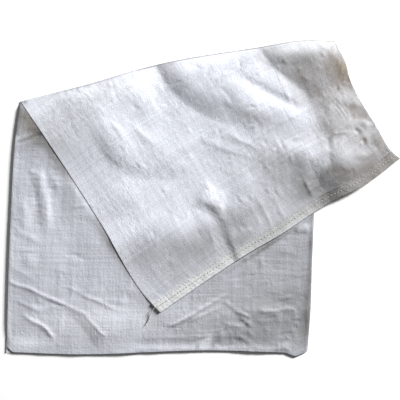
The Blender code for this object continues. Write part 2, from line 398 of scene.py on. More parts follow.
# What the photograph shows of the folded half
FLAP_CREASES: tuple[Crease, ...] = (
    # fold crest
    Crease(((-291, 149), (-239, 156), (-183, 162), (-137, 164)), 2.2, 24, 90, Crown.ROUND, 0.5, 0.3),
    # ridge beside the white bank
    Crease(((-225, 292), (-160, 204), (-133, 179), (-115, 156), (-90, 128), (-58, 102)),
           2.4, 52, 120, Crown.ROUND, 0.2, 0.45),
    # valley from the fold
    Crease(((-100, 266), (-79, 222), (-69, 202), (-54, 179), (-30, 156), (0, 138), (38, 125)),
           -0.4, 14, 16, Crown.SHARP, 0.2, 0.6),
    # long crest at the fold
    Crease(((-107, 316), (-58, 243), (-25, 199), (12, 171), (58, 154), (104, 140), (143, 131)),
           4.2, 84, 40, Crown.ROUND, 0.35, 0.3),
    # long crest
    Crease(((15, 200), (44, 186), (81, 166), (118, 146), (153, 131), (176, 118)),
           2.1, 24, 40, Crown.ROUND, 0.3, 0.25),
    # second crest
    Crease(((54, 214), (86, 199), (114, 184), (143, 169), (176, 153)), 1.3, 26, 15, Crown.ROUND),
    # upper valley
    Crease(((61, 286), (89, 246), (100, 232), (115, 217), (135, 199), (156, 182), (173, 168), (192, 154)),
           -0.8, 20, 24, Crown.SHARP, 0.2, 0.3),
    # corner crest
    Crease(((81, 319), (133, 289), (176, 263), (212, 237), (238, 204), (252, 164)),
           4.6, 70, 74, Crown.FACET, 0.2, 0.3),
    # fold crest, right
    Crease(((104, 232), (153, 238), (209, 243)), 1.4, 18, 22, Crown.ROUND),
    # bright patch below the corner
    Crease(((202, 169), (220, 166), (242, 159), (262, 151)), 1.3, 22, 13, Crown.ROUND, 0.5, 0.2),
    # ring, top
    Crease(((237, 110), (245, 120), (257, 126), (270, 121), (280, 110)), 1.0, 8, 8, Crown.ROUND),
    # ring, foot
    Crease(((245, 74), (260, 69), (278, 75), (290, 88), (286, 102)), 1.0, 10, 10, Crown.ROUND, 0.3, 0.4),
    # ring, hollow
    Crease(((248, 113), (255, 110), (260, 105)), -1.0, 5, 5, Crown.ROUND),
    # ring, lower hollow
    Crease(((262, 97), (268, 92)), -0.9, 5, 5, Crown.ROUND),
    # crease beside the ring
    Crease(((206, 121), (207, 92), (209, 66), (211, 39)), -0.8, 12, 16),
    # short crease at the ring
    Crease(((211, 105), (227, 107), (244, 110)), 1.0, 5, 6),
    # crest over the deep shadow
    Crease(((209, 115), (225, 92), (238, 66), (253, 39), (268, 13), (285, -27)),
           5.0, 420, 60, Crown.DOME, 0.4, 0.1),
    # bright patch, middle right
    Crease(((117, 80), (143, 74), (166, 72), (189, 75)), 1.5, 22, 26, Crown.ROUND),
    # bowl rim
    Crease(((-168, 148), (-160, 118), (-148, 90), (-125, 70), (-90, 60), (-51, 60), (-12, 67), (16, 79)),
           2.2, 60, 34, Crown.ROUND, 0.25, 0.3),
    # low crest
    Crease(((-173, -96), (-138, -86), (-112, -78), (-74, -66), (-53, -56), (-26, -43), (-8, -30)),
           2.4, 50, 60, Crown.FACET, 0.15, 0.25),
    # pleat, valley
    Crease(((-2, -7), (8, -22), (20, -36), (27, -45), (31, -56), (36, -73), (44, -92), (54, -111)),
           -1.2, 14, 18, Crown.FACET, 0.1, 0.1),
    # pleat, white bank
    Crease(((-15, 3), (0, -5), (15, -12), (38, -17)), 1.6, 31, 16, Crown.FACET, 0.3, 0.2),
    # pleat, facet
    Crease(((58, 3), (64, -20), (71, -46), (77, -76)), 0.7, 60, 50, Crown.ROUND),
    # pleat, lower bank
    Crease(((38, -53), (46, -71), (54, -91), (64, -116)), 1.1, 30, 9, Crown.FACET, 0.3, 0.05),
    # by the hem 1
    Crease(((72, -2), (86, -27), (97, -56)), 0.35, 6, 7),
    # by the hem 2
    Crease(((87, 8), (104, -27), (120, -66)), 0.5, 7, 9),
    # by the hem 3
    Crease(((110, 16), (125, -14), (138, -46)), 0.35, 7, 9),
    # dark crease at the hem
    Crease(((164, 36), (173, 18), (183, -2)), 1.0, 11, 7),
    # short crease at the left edge
    Crease(((-173, -36), (-153, -32), (-132, -27), (-102, -22)), 0.6, 7, 4, Crown.SHARP, 0.2, 0.4),
    # middle fold 1
    Crease(((31, 112), (61, 95), (97, 79)), 0.9, 12, 14, Crown.SHARP, 0.4, 0.4),
    # middle fold 2
    Crease(((-21, 112), (12, 92), (53, 75), (97, 62)), 0.8, 14, 14, Crown.SHARP, 0.4, 0.4),
    # middle fold 3
    Crease(((-123, 128), (-100, 105), (-71, 82)), 0.9, 14, 16, Crown.SHARP, 0.4, 0.4),
)

# Where its left edge stands off the floor half
EDGE_LIFTS: tuple[Crease, ...] = (
    # upper lift
    Crease(((-272, 112), (-249, 79), (-226, 42)), 0.4, 50, 18, Crown.ROUND, 0.5, 0.5),
    # lower lift
    Crease(((-173, -38), (-157, -65), (-139, -94), (-110, -137)), 0.6, 44, 16, Crown.ROUND, 0.5, 0.5),
)

# What it shows of the half on the floor
BASE_CREASES: tuple[Crease, ...] = (
    # long ridge
    Crease(((-325, -136), (-307, -144), (-286, -150), (-269, -159), (-249, -167), (-233, -174), (-211,
           -184), (-190, -193), (-158, -205)), 1.1, 5.5, 8, Crown.SHARP, 0.02, 0.5),
    # hollow by the mouth
    Crease(((-229, -167), (-200, -187), (-178, -210), (-160, -245)), 1.3, 50, 22, Crown.ROUND, 0.3, 0.2),
    # upper crease
    Crease(((-206, -159), (-190, -164), (-170, -172), (-145, -184), (-116, -188)),
           0.9, 6, 6, Crown.SHARP, 0.25, 0.4),
    # lower left crease
    Crease(((-302, -187), (-282, -203), (-262, -213), (-252, -225), (-243, -236)),
           1.1, 6, 10, Crown.SHARP, 0.3, 0.2),
    # upright ridge
    Crease(((-272, 56), (-269, 26), (-262, -4), (-258, -37), (-251, -73)),
           1.6, 13, 15, Crown.ROUND, 0.25, 0.4),
    # upright bank
    Crease(((-216, 43), (-211, 10), (-205, -23), (-196, -60)), 1.4, 40, 32, Crown.ROUND, 0.25, 0.4),
    # left bank
    Crease(((-295, 3), (-295, -28), (-294, -66)), 0.9, 14, 12, Crown.ROUND, 0.3, 0.4),
    # upright band 1
    Crease(((-183, -56), (-180, -106), (-173, -152)), 0.4, 20, 16, Crown.ROUND, 0.3, 0.4),
    # upright band 2
    Crease(((-289, -90), (-286, -119)), 0.8, 16, 14, Crown.ROUND, 0.3, 0.4),
    # crease by the flap
    Crease(((-220, -17), (-203, -14), (-183, -10)), 0.7, 5, 5),
    # under the fold
    Crease(((-312, 92), (-289, 99), (-259, 107)), -1.6, 16, 8, Crown.SHARP, 0.05, 0.2),
    # diagonal 1
    Crease(((-66, -216), (-30, -200), (-15, -192), (12, -174), (40, -157)),
           1.6, 7, 8, Crown.SHARP, 0.2, 0.35),
    # diagonal 2
    Crease(((-30, -207), (3, -192), (44, -174)), 1.3, 6, 7, Crown.SHARP, 0.3, 0.4),
    # right ridge
    Crease(((84, -187), (107, -186), (122, -187), (134, -183), (157, -183)),
           1.7, 5, 12, Crown.SHARP, 0.2, 0.3),
    # crumple 1
    Crease(((51, -187), (66, -192), (82, -197)), 1.0, 5, 7),
    # crumple 2
    Crease(((56, -192), (69, -203), (86, -216)), 0.9, 7, 7),
    # crumple 5
    Crease(((41, -179), (61, -187), (81, -203)), 0.7, 5, 6),
    # crumple 6
    Crease(((97, -212), (111, -220)), 0.6, 5, 6),
    # crumple 7
    Crease(((18, -222), (43, -212)), 0.7, 5, 7),
    # crumple 3
    Crease(((30, -207), (46, -210), (69, -215)), 1.0, 6, 8),
    # crumple 4
    Crease(((54, -225), (66, -230), (82, -238)), 0.8, 5, 6),
    # mouth strip
    Crease(((-134, -241), (-71, -241), (-5, -240), (69, -236), (147, -236)),
           -0.9, 12, 9, Crown.ROUND, 0.2, 0.2),
    # patch under the hem
    Crease(((147, -53), (163, -52), (180, -53)), 1.2, 12, 10, Crown.ROUND),
    # faint upright line
    Crease(((48, -109), (48, -152), (50, -195)), 0.35, 3, 3),
    # left wrinkle 1
    Crease(((-312, -169), (-292, -177), (-269, -188)), 0.6, 6, 7),
    # left wrinkle 2
    Crease(((-239, -144), (-211, -152), (-183, -169)), 0.5, 5, 6),
    # branch of the long ridge
    Crease(((-200, -188), (-186, -203), (-172, -218), (-154, -236)), 0.7, 4, 5, Crown.SHARP, 0.2, 0.3),
    # crumple at the mouth
    Crease(((-12, -250), (0, -238), (15, -231)), 1.4, 8, 7),
    # dark slope by the mouth
    Crease(((13, -243), (41, -225), (71, -210), (97, -205)), 0.8, 10, 16, Crown.ROUND),
    # crumple at the mouth, right
    Crease(((117, -246), (132, -240), (148, -243)), 1.2, 6, 6),
    # along the mouth
    Crease(((31, -250), (61, -250), (91, -250), (124, -251)), 0.5, 3, 4),
    # thin line at the right
    Crease(((130, -201), (148, -201), (167, -200)), 0.5, 2.5, 3),
    # bay
    Crease(((-315, -53), (-292, -63), (-269, -70)), 0.6, 8, 8, Crown.ROUND),
)


class Tint(Enum):
    """Tints laid into the cloth's colour, by the name of their attribute: painted shade with some dust, a
    brown cast, and painted sheen.
    """

    # Painted shade on slopes, hollows and under edges, with some dust
    SHADE_AND_GRIME = "shade_and_grime"
    TAN = "tan"
    # Painted sheen: highlights laid into the cloth's colour
    SHEEN = "sheen"


@dataclass(frozen=True)
class TintSpot:
    """A soft spot of one tint on the cloth: painted shade with some dust, a brown cast, or painted sheen.
    All in millimetres.

    Fields:
        layer: Which tint it is.
        middle: Its plan middle.
        half_length: Half its length.
        half_width: Half its width.
        angle: Direction of its length, in degrees from +X.
        strength: How much of the tint its middle takes.
    """

    layer: Tint
    middle: tuple[float, float]
    half_length: float
    half_width: float
    angle: float
    strength: float

    def depth(self, plan: np.ndarray) -> np.ndarray:
        """Works out how much of the tint the cloth takes.

        Args:
            plan: Plan positions in metres.

        Returns:
            One amount for each position.
        """
        turn = np.radians(self.angle)
        offset = plan / MM - np.array(self.middle)
        along = offset[..., 0] * np.cos(turn) + offset[..., 1] * np.sin(turn)
        across = offset[..., 1] * np.cos(turn) - offset[..., 0] * np.sin(turn)
        return self.strength * np.exp(-((along / self.half_length) ** 2) - (across / self.half_width) ** 2)


def tint_spots(layer: Tint, *spots: tuple[float, float, float, float, float, float]) -> tuple[TintSpot, ...]:
    """Makes the spots of one tint.

    Args:
        layer: The tint.
        spots: Plan middle in X and Y, half length, half width, angle and strength of each.

    Returns:
        The stains.
    """
    return tuple(TintSpot(layer, (x, y), *sizes) for x, y, *sizes in spots)


# Tint spots on the floor half: painted shade for the flap's and the hem's shadows and its darker right
# part, painted sheen on its brighter strips, and a brown cast under the fold
FLOOR_TINT_SPOTS = (
    *tint_spots(
        Tint.TAN,
        (-288, 124, 34, 22, -60, 0.2),
    ),
    *tint_spots(
        Tint.SHADE_AND_GRIME,
        (-290, 128, 38, 22, -60, 0.9), (-286, 98.5, 28, 2.6, 16, 0.8), (-276, 90, 30, 9, 16, 0.35),
        (-87, -181, 34, 26, 0, 0.16), (174, -190, 75, 13, 88, 0.32), (107, -79.5, 72, 3.6, 33, 0.55),
        (19, -240, 11, 4, 60, 0.4), (-172, -178, 32, 26, 0, 0.2), (179, -58, 82, 4.2, 88.4, 0.75),
        (160, -79, 14, 25, 0, 0.22), (-247, 76, 60, 13, -57, 1), (-146, -86, 50, 8, -57, 1),
        (-9, -190.5, 50, 2.4, 30, 0.2), (130, -150, 190, 110, 0, 0.4), (118, -96, 60, 46, 33, 0.22),
        (-20, -132, 70, 26, 20, 0.16), (150, -215, 130, 60, 0, 0.44),
    ),
    *tint_spots(
        Tint.SHEEN,
        (-288, 104.5, 22, 3.4, 16, 0.7), (4, -238, 13, 8, 40, 0.6), (133, -241, 14, 3.4, 0, 0.6),
        (20, -248, 120, 3.4, 0, 0.25), (-275, -237, 34, 10, 0, 0.6), (-11.6, -186, 55, 2.2, 30, 0.35),
        (-285, -60, 60, 90, 0, 0.25), (-170, -215, 190, 36, 1, 0.55),
    ),
)
# Tint spots on the flap: painted shade on slopes and hollows turned from the light, painted sheen on slopes
# facing it and along the fold, and a brown cast at its right end
FLAP_TINT_SPOTS = (
    *tint_spots(
        Tint.TAN,
        (230, 213, 40, 18, -50, 0.7), (195, 212, 90, 34, -25, 0.25), (248, 140, 30, 22, -60, 0.12),
        (-215, 118, 40, 24, 0, 0.06), (255, 100, 110, 80, -60, 0.16), (300, 50, 60, 30, 33, 0.08),
        (165, 190, 80, 30, -42, 0.12),
    ),
    *tint_spots(
        Tint.SHADE_AND_GRIME,
        (222, 218, 50, 26, -35, 0.37), (190, 211, 75, 16, -20, 0.2), (87, 134, 52, 13, -15, 0.38),
        (166, 9, 40, 20, 33, 0.3), (256, 110, 9, 5, -45, 0.55), (183, 12, 22, 12, -62, 0.35),
        (250, 62, 12, 16, 0, 0.1), (267, 94, 7, 5, -60, 0.5), (242, 92, 18, 15, 0, 0.2),
        (-30, -114, 62, 18, 31, 0.16), (-105, -115, 34, 30, 0, 0.14), (-18, 76, 42, 16, 0, 0.2),
        (12, -90, 20, 14, 0, 0.14), (61, -73, 15, 10, 33, 0.25), (-168, 168, 18, 11, 16, 0.35),
        (294, 85, 26, 9, -58, 0.3), (168, 200, 62, 26, -38, 0.35), (235, 130, 60, 40, -60, 0.55),
        (300, 96, 50, 26, -58, 0.4), (262, 50, 75, 36, 30, 0.59), (248, 16, 38, 20, 33, 1.1),
        (140, -42, 90, 12, 33, 0.3), (300, 48, 80, 16, 33, 0.35), (165, 28, 50, 34, -58, 0.42),
        (-244, 95, 52, 26, -57, 0.38), (66, -16, 60, 36, 33, 0.14), (-10, -74, 60, 30, 33, 0.22),
        (170, 187, 44, 15, -48, 0.45), (199, 128, 42, 13, -80, 0.35), (15, -16, 17, 6.5, -36, 0.25),
        (38.5, -70, 38, 6, -71, 0.16), (258, 141, 20, 11, -45, 0.9), (213, 110, 26, 12, -20, 0.4),
        (95, 66, 80, 50, 0, 0.3), (120, 50, 60, 40, 0, 0.2), (92, -42, 70, 44, 33, 0.36),
        (-10, -110, 110, 46, 33, 0.31), (-70, -85, 100, 24, 20, 0.3),
    ),
    *tint_spots(
        Tint.SHEEN,
        (264, 122, 18, 4.5, -15, 0.7), (270, 71, 24, 9, 15, 0.6), (146, 92, 40, 14, 10, 0.5),
        (20.5, 7, 22, 10, -58, 0.6), (-192, 172, 130, 24, 16, 1), (-20, 222, 150, 12, 16, 0.6),
        (160, 247, 105, 15, 5, 1), (-104, 186, 46, 28, -35, 0.6), (-205, 125, 90, 30, 5, 0.5),
        (-120, 20, 70, 30, 0, 0.4), (-110, -44, 50, 22, 10, 0.5),
    ),
)


# Lower left and upper right plan corners of the two halves, in millimetres
FLAP_AREA = ((-320.0, -200.0), (330.0, 262.0))
BASE_AREA = ((-325.0, -260.0), (190.0, 190.0))

FLAP_RELIEF = Relief((
    *FLAP_CREASES,
    Waves(11, 14, (45.0, 150.0), 0.3),
    Crumple(21, 220, *FLAP_AREA, (18.0, 80.0), (4.0, 14.0), (0.1, 0.5),
            (-58.0, 32.0, -25.0), 16.0),
    Crumple(24, 620, *FLAP_AREA, (10.0, 36.0), (3.5, 9.0), (0.12, 0.65),
            (-58.0, 32.0, 75.0, 0.0), 25.0),
    Crumple(22, 520, *FLAP_AREA, (8.0, 34.0), (2.5, 6.0), (0.05, 0.22),
            (-58.0, 32.0), 22.0),
    Crumple(23, 80, (190.0, 60.0), (320.0, 240.0), (8.0, 26.0), (2.8, 5.5), (0.1, 0.42),
            (-45.0, 40.0, 80.0), 20.0),
    Ripples((226.0, 146.0), 24.0, 12.0, -50.0, 6.0, 0.28),
    Ripples((214.0, 250.0), 10.0, 9.0, -70.0, 5.0, 0.35),
))
EDGE_RELIEF = Relief(EDGE_LIFTS)
BASE_RELIEF = Relief((
    *BASE_CREASES,
    Waves(12, 14, (40.0, 140.0), 0.35),
    Crumple(31, 200, *BASE_AREA, (20.0, 90.0), (4.0, 14.0), (0.1, 0.6),
            (0.0, 90.0, -25.0), 14.0),
    Crumple(32, 420, *BASE_AREA, (8.0, 36.0), (2.5, 6.0), (0.05, 0.2),
            (0.0, 90.0), 14.0),
    Crumple(33, 300, (-60.0, -250.0), (185.0, -40.0), (12.0, 60.0), (2.2, 5.0), (0.1, 0.5),
            (3.0,), 8.0),
    Crumple(35, 46, (20.0, -240.0), (182.0, -165.0), (10.0, 42.0), (3.0, 8.0), (0.3, 1.1),
            (-35.0, 4.0, 22.0), 12.0),
    Crumple(34, 160, (-322.0, -40.0), (-230.0, 100.0), (8.0, 30.0), (2.2, 4.5), (0.1, 0.45),
            (0.0,), 8.0),
))


# The shape of the sack


@dataclass(frozen=True)
class SackRoute:
    """Where the sack's middle sheet runs, with the part's own outlines. Sizes in metres.

    Fields:
        mouth: The cut mouth, from left to right.
        fold: The line along which the sack is folded over, from left to right.
        hem: The sewn end, from left to right.
        base_left: Left side of the floor half, from the mouth to the fold.
        base_right: Its right side.
        flap_left: Left side of the flap, from the fold to the hem.
        flap_right: Its right side.
        width: The lay-flat width.
        left_lead: How much sooner the left side comes to the fold than the right, as a ratio.
        side_half: Half the thickness of the floor half.
        flap_half: Half the thickness of the flap.
        flap_edge_half: Half its thickness at its sides.
        flap_edge_reach: How far in from its sides it is thinner.
        clearance: Gap between the floor half and the flap.
        pressed_half: Half the thickness of the floor half where it is pressed flat.
        pressed_edge_half: Half the flap's thickness where it is pressed flat.
        pressed_clearance: Gap between the two where they are pressed together.
        press_reach: How far from the fold's left corner the flap is pressed.
        corner_reach: How far from that corner the floor half is.
        mouth_rise: By how much the floor half's half thickness grows towards the mouth.
        mouth_depth: How far from the mouth it does.
        mouth_shoulder: Share of the width over which the mouth rises from each side.
        roll_tip: Radius of the fold's roll at its pressed left corner.
        roll_left: Its radius left, but for that corner.
        roll_right: Its radius right.
        settle_left: How far behind the roll the flap comes to rest, at its left side.
        settle_right: The same at its right side.
        overhang_drop: How far past the floor half's right side the flap comes down to the floor.
        hem_half: Half the thickness of one layer of the hem.
        hem_roll: Radius of the hem's turn.
        hem_places: Places across the sack, 0 at its left side and 1 at its right.
        hem_widths: Width of the hem at these places.
        hem_taper: How far behind the hem the seam still presses the flap flat.
    """

    mouth: Outline = Outline(((-325.0, -256.0), (-206.0, -260.0), (-6.0, -252.5), (173.0, -248.5)))
    fold: Outline = Outline((
        (-302.5, 160.0), (-191.0, 188.0), (-81.0, 218.5), (89.0, 248.0), (174.0, 260.2), (216.0, 258.5),
    ))
    hem: Outline = Outline((
        (-70.5, -189.5), (26.0, -123.5), (61.0, -100.5), (130.5, -59.5), (209.0, -8.5), (264.0, 19.5),
        (325.7, 65.0),
    ))
    base_left: Outline = Outline((
        (-325.0, -256.0), (-323.0, -139.5), (-318.0, -11.5), (-311.5, 94.0), (-302.5, 160.0),
    ))
    base_right: Outline = Outline((
        (173.0, -248.5), (178.0, -189.5), (181.0, -104.5), (185.0, -26.5), (198.0, 110.5), (216.0, 258.5),
    ))
    flap_left: Outline = Outline((
        (-302.5, 160.0), (-266.5, 107.5), (-171.5, -38.5), (-88.0, -171.5), (-70.5, -189.5),
    ))
    flap_right: Outline = Outline((
        (216.0, 258.5), (234.0, 223.5), (242.0, 196.5), (255.0, 171.0), (284.0, 123.0), (315.0, 73.5),
        (325.7, 65.0),
    ))
    width: float = 501.0 * MM
    left_lead: float = 1.2
    side_half: float = 1.5 * MM
    flap_half: float = 0.9 * MM
    flap_edge_half: float = 0.17 * MM
    flap_edge_reach: float = 80.0 * MM
    clearance: float = 0.5 * MM
    pressed_half: float = 0.45 * MM
    pressed_edge_half: float = 0.08 * MM
    pressed_clearance: float = 0.08 * MM
    press_reach: float = 210.0 * MM
    corner_reach: float = 14.0 * MM
    mouth_rise: float = 2.4 * MM
    mouth_depth: float = 220.0 * MM
    mouth_shoulder: float = 0.22
    roll_tip: float = 0.4 * MM
    roll_left: float = 1.9 * MM
    roll_right: float = 4.5 * MM
    settle_left: float = 80.0 * MM
    settle_right: float = 110.0 * MM
    overhang_drop: float = 100.0 * MM
    hem_half: float = 0.5 * MM
    hem_roll: float = 0.65 * MM
    hem_places: tuple[float, ...] = (0.0, 0.3, 1.0)
    hem_widths: tuple[float, ...] = (19.5 * MM, 17.0 * MM, 17.0 * MM)
    hem_taper: float = 25.0 * MM

    @staticmethod
    def patch(
        start: Outline, end: Outline, left: Outline, right: Outline, across: np.ndarray, along: np.ndarray
    ) -> np.ndarray:
        """Blends plan points of the sheet from the four outlines around it.

        Args:
            start: The outline that the sheet starts from.
            end: The one at its other end.
            left: The one along its left side.
            right: The one along its right side.
            across: Places across the sheet, 0 at its left side and 1 at its right.
            along: Places along it, 0 at its start and 1 at its end.

        Returns:
            Plan positions in metres.
        """
        a, v = across[..., None], along[..., None]
        lengthwise = (1 - v) * start.at(across) + v * end.at(across)
        crosswise = (1 - a) * left.at(along) + a * right.at(along)
        corners = (1 - a) * (1 - v) * start.end(False) + a * (1 - v) * start.end(True)
        corners = corners + (1 - a) * v * end.end(False) + a * v * end.end(True)
        return lengthwise + crosswise - corners

    def base_plan(self, across: np.ndarray, along: np.ndarray) -> np.ndarray:
        """Plan positions on the half that lies on the floor, from the mouth to the fold."""
        return self.patch(self.mouth, self.fold, self.base_left, self.base_right, across, along)

    def flap_plan(self, across: np.ndarray, along: np.ndarray) -> np.ndarray:
        """Plan positions on the half that is folded over, from the fold to the hem."""
        return self.patch(self.fold, self.hem, self.flap_left, self.flap_right, across, along)

    def base_across(self, plan: np.ndarray) -> np.ndarray:
        """How far across the floor half plan positions lie.

        Args:
            plan: Plan positions in metres.

        Returns:
            Places from 0 at its left side to 1 at its right, and further outside it.
        """
        foot, top = self.mouth.end(False)[1], self.fold.end(True)[1]
        height = (plan[..., 1] - foot) / (top - foot)
        left = self.base_left.at(np.clip(height * self.left_lead, 0.0, 1.0))[..., 0]
        right = self.base_right.at(np.clip(height, 0.0, 1.0))[..., 0]
        return (plan[..., 0] - left) / (right - left)

    def press(self, plan: np.ndarray, reach: float) -> np.ndarray:
        """How flat the cloth is pressed: fully at the fold's left corner, not at all beyond a reach."""
        away = np.linalg.norm(plan - self.fold.end(False), axis=-1)
        return 1.0 - ease(away / reach)

    def base_half(self, plan: np.ndarray) -> np.ndarray:
        """Half the thickness of the floor half: flat, but for its mouth.

        Args:
            plan: Plan positions in metres.

        Returns:
            Half thicknesses in metres.
        """
        across = self.base_across(plan)
        plateau = ease(across / self.mouth_shoulder) * ease((1.0 - across) / self.mouth_shoulder)
        depth = plan[..., 1] - self.mouth.knots[1][1] * MM
        side = self.side_half + (self.pressed_half - self.side_half) * self.press(plan, self.corner_reach)
        return side + self.mouth_rise * plateau * (1.0 - ease(depth / self.mouth_depth))

    def under_flap(self, plan: np.ndarray) -> np.ndarray:
        """How far plan positions of the floor half lie outside the flap.

        Args:
            plan: Plan positions in metres, in an array of any shape.

        Returns:
            Distances in metres, negative under the flap.
        """
        flat = plan.reshape(-1, 2)
        beside = self.flap_left.outside(flat)
        below = self.hem.outside(flat)
        return np.maximum(beside, below).reshape(plan.shape[:-1])


class SackRows:
    """Rows of the middle sheet at given places across the sack, from its mouth to its sewn end."""

    def __init__(self, route: SackRoute, across: np.ndarray) -> None:
        """Works out the sizes along the fold and the hem.

        Args:
            route: The sack's outlines and sizes.
            across: Places across the sack, 0 at its left side and 1 at its right.
        """
        self.route = route
        self.across = across
        self.from_left = across * route.width
        self.from_side = np.minimum(across, 1.0 - across) * route.width
        step = 0.001
        none, whole = np.zeros_like(across), np.ones_like(across)
        fold = route.flap_plan(across, none)
        end = route.flap_plan(across, whole)
        self.flap_length = np.linalg.norm(end - fold, axis=-1)
        along_fold = route.fold.heading(across)
        self.out = np.stack((-along_fold[..., 1], along_fold[..., 0]), axis=-1)
        along_hem = route.hem.heading(across)
        self.down = np.stack((along_hem[..., 1], -along_hem[..., 0]), axis=-1)
        wide = route.roll_left + (route.roll_right - route.roll_left) * across
        self.radius = wide + (route.roll_tip - wide) * route.press(route.fold.at(across), route.press_reach)
        reach = self.radius + route.flap_half
        arriving = (route.base_plan(across, whole) - route.base_plan(across, whole - step)) / step
        leaving = (route.flap_plan(across, none + step) - fold) / step
        self.base_end = 1.0 - reach / np.sum(arriving * self.out, axis=-1)
        self.flap_start = -reach / np.sum(leaving * self.out, axis=-1)
        at_hem = (end - route.flap_plan(across, whole - step)) / step
        at_hem_down = np.sum(at_hem * self.down, axis=-1)
        self.flap_end = 1.0 - (route.hem_roll + route.hem_half) / at_hem_down
        self.hem_width = np.interp(across, route.hem_places, route.hem_widths)
        self.hem_share = self.hem_width / at_hem_down

    def flap_half(self, along: np.ndarray) -> np.ndarray:
        """Half the flap's thickness, pressed flat by the seam at the hem and thin at its sides.

        Args:
            along: Places along the flap, 0 at the fold and 1 at the hem's outline.

        Returns:
            Half thicknesses in metres.
        """
        route = self.route
        inner = ease(self.from_side / route.flap_edge_reach)
        full = route.flap_edge_half + (route.flap_half - route.flap_edge_half) * inner
        pressed = route.press(route.flap_plan(self.across, along * np.ones_like(inner)), route.press_reach)
        full = full + (route.pressed_edge_half - full) * pressed
        from_hem = (self.flap_end - along - self.hem_share) * self.flap_length
        return route.hem_half + (full - route.hem_half) * ease(from_hem / route.hem_taper)

    def flap_rest(self, along: np.ndarray) -> np.ndarray:
        """Height of the flap's middle sheet where it rests on what is under it.

        Args:
            along: Places along the flap, 0 at the fold and 1 at the hem's outline.

        Returns:
            Heights in metres.
        """
        route = self.route
        plan = route.flap_plan(self.across, along)
        overhang = (route.base_across(plan) - 1.0) * route.width
        support = 2.0 * route.base_half(plan) * (1.0 - ease(overhang / route.overhang_drop))
        at_left = 1.0 - ease(self.from_left / route.flap_edge_reach)
        pressed = np.maximum(route.press(plan, route.press_reach), at_left)
        gap = route.clearance + (route.pressed_clearance - route.clearance) * pressed
        return support + gap + self.flap_half(along)

    def flap_middle(self, along: np.ndarray) -> np.ndarray:
        """The flap's middle sheet: high over the roll, further on at rest on the floor half.

        Args:
            along: Places along the flap, 0 at the fold and 1 at the hem's outline.

        Returns:
            Positions in metres.
        """
        route = self.route
        rest = self.flap_rest(along)
        start = route.base_half(route.base_plan(self.across, self.base_end)) + 2.0 * self.radius
        settle = route.settle_left + (route.settle_right - route.settle_left) * self.across
        risen = 1.0 - ease((along - self.flap_start) * self.flap_length / settle)
        height = rest + np.maximum(start - rest, 0.0) * risen
        return np.concatenate((route.flap_plan(self.across, along), height[..., None]), axis=-1)

    def flap_along(self, share: float) -> np.ndarray:
        """Places along the flap at a share of its way from the roll to the hem."""
        return self.flap_start + share * (self.flap_end - self.flap_start)

    def base_row(self, share: float) -> tuple[np.ndarray, np.ndarray]:
        """One row of the floor half.

        Args:
            share: How far it is from the mouth at 0 to the roll at 1.

        Returns:
            Positions and half thicknesses in metres.
        """
        plan = self.route.base_plan(self.across, share * self.base_end)
        half = self.route.base_half(plan)
        return np.concatenate((plan, half[..., None]), axis=-1), half

    def roll_row(self, angle: float) -> tuple[np.ndarray, np.ndarray]:
        """One row of the half roll of the fold.

        Args:
            angle: How far round it is, from 0 at the floor half to pi at the flap.

        Returns:
            Positions and half thicknesses in metres.
        """
        arrival = self.route.base_plan(self.across, self.base_end)
        departure = self.route.flap_plan(self.across, self.flap_start)
        plan = arrival + (departure - arrival) * angle / np.pi
        plan = plan + (self.radius * np.sin(angle))[..., None] * self.out
        start = self.route.base_half(arrival)
        height = start + self.radius * (1.0 - np.cos(angle))
        half = start + (self.flap_half(self.flap_start) - start) * angle / np.pi
        return np.concatenate((plan, height[..., None]), axis=-1), half

    def flap_row(self, share: float) -> tuple[np.ndarray, np.ndarray]:
        """One row of the flap, from the roll at 0 to the hem at 1, with its half thickness."""
        along = self.flap_along(share)
        return self.flap_middle(along), self.flap_half(along)

    def hem_roll_row(self, angle: float) -> tuple[np.ndarray, np.ndarray]:
        """One row of the hem's tight turn, up and back over the flap.

        Args:
            angle: How far round it is, from 0 at the flap to pi at the strip.

        Returns:
            Positions and half thicknesses in metres.
        """
        middle = self.flap_middle(self.flap_end)
        middle[..., :2] += self.route.hem_roll * np.sin(angle) * self.down
        middle[..., 2] += self.route.hem_roll * (1.0 - np.cos(angle))
        return middle, np.full_like(self.across, self.route.hem_half)

    def strip_row(self, share: float, short: float = 0.0) -> tuple[np.ndarray, np.ndarray]:
        """One row of the turned-back hem.

        Args:
            share: How far it is from the turn at 0 to the cloth's end at 1.
            short: How much nearer to the turn it lies than that, in metres.

        Returns:
            Positions and half thicknesses in metres.
        """
        along = self.flap_end - share * self.hem_share + short / self.flap_length
        middle = self.flap_middle(along)
        middle[..., 2] += 2.0 * self.route.hem_roll
        return middle, np.full_like(self.across, self.route.hem_half)


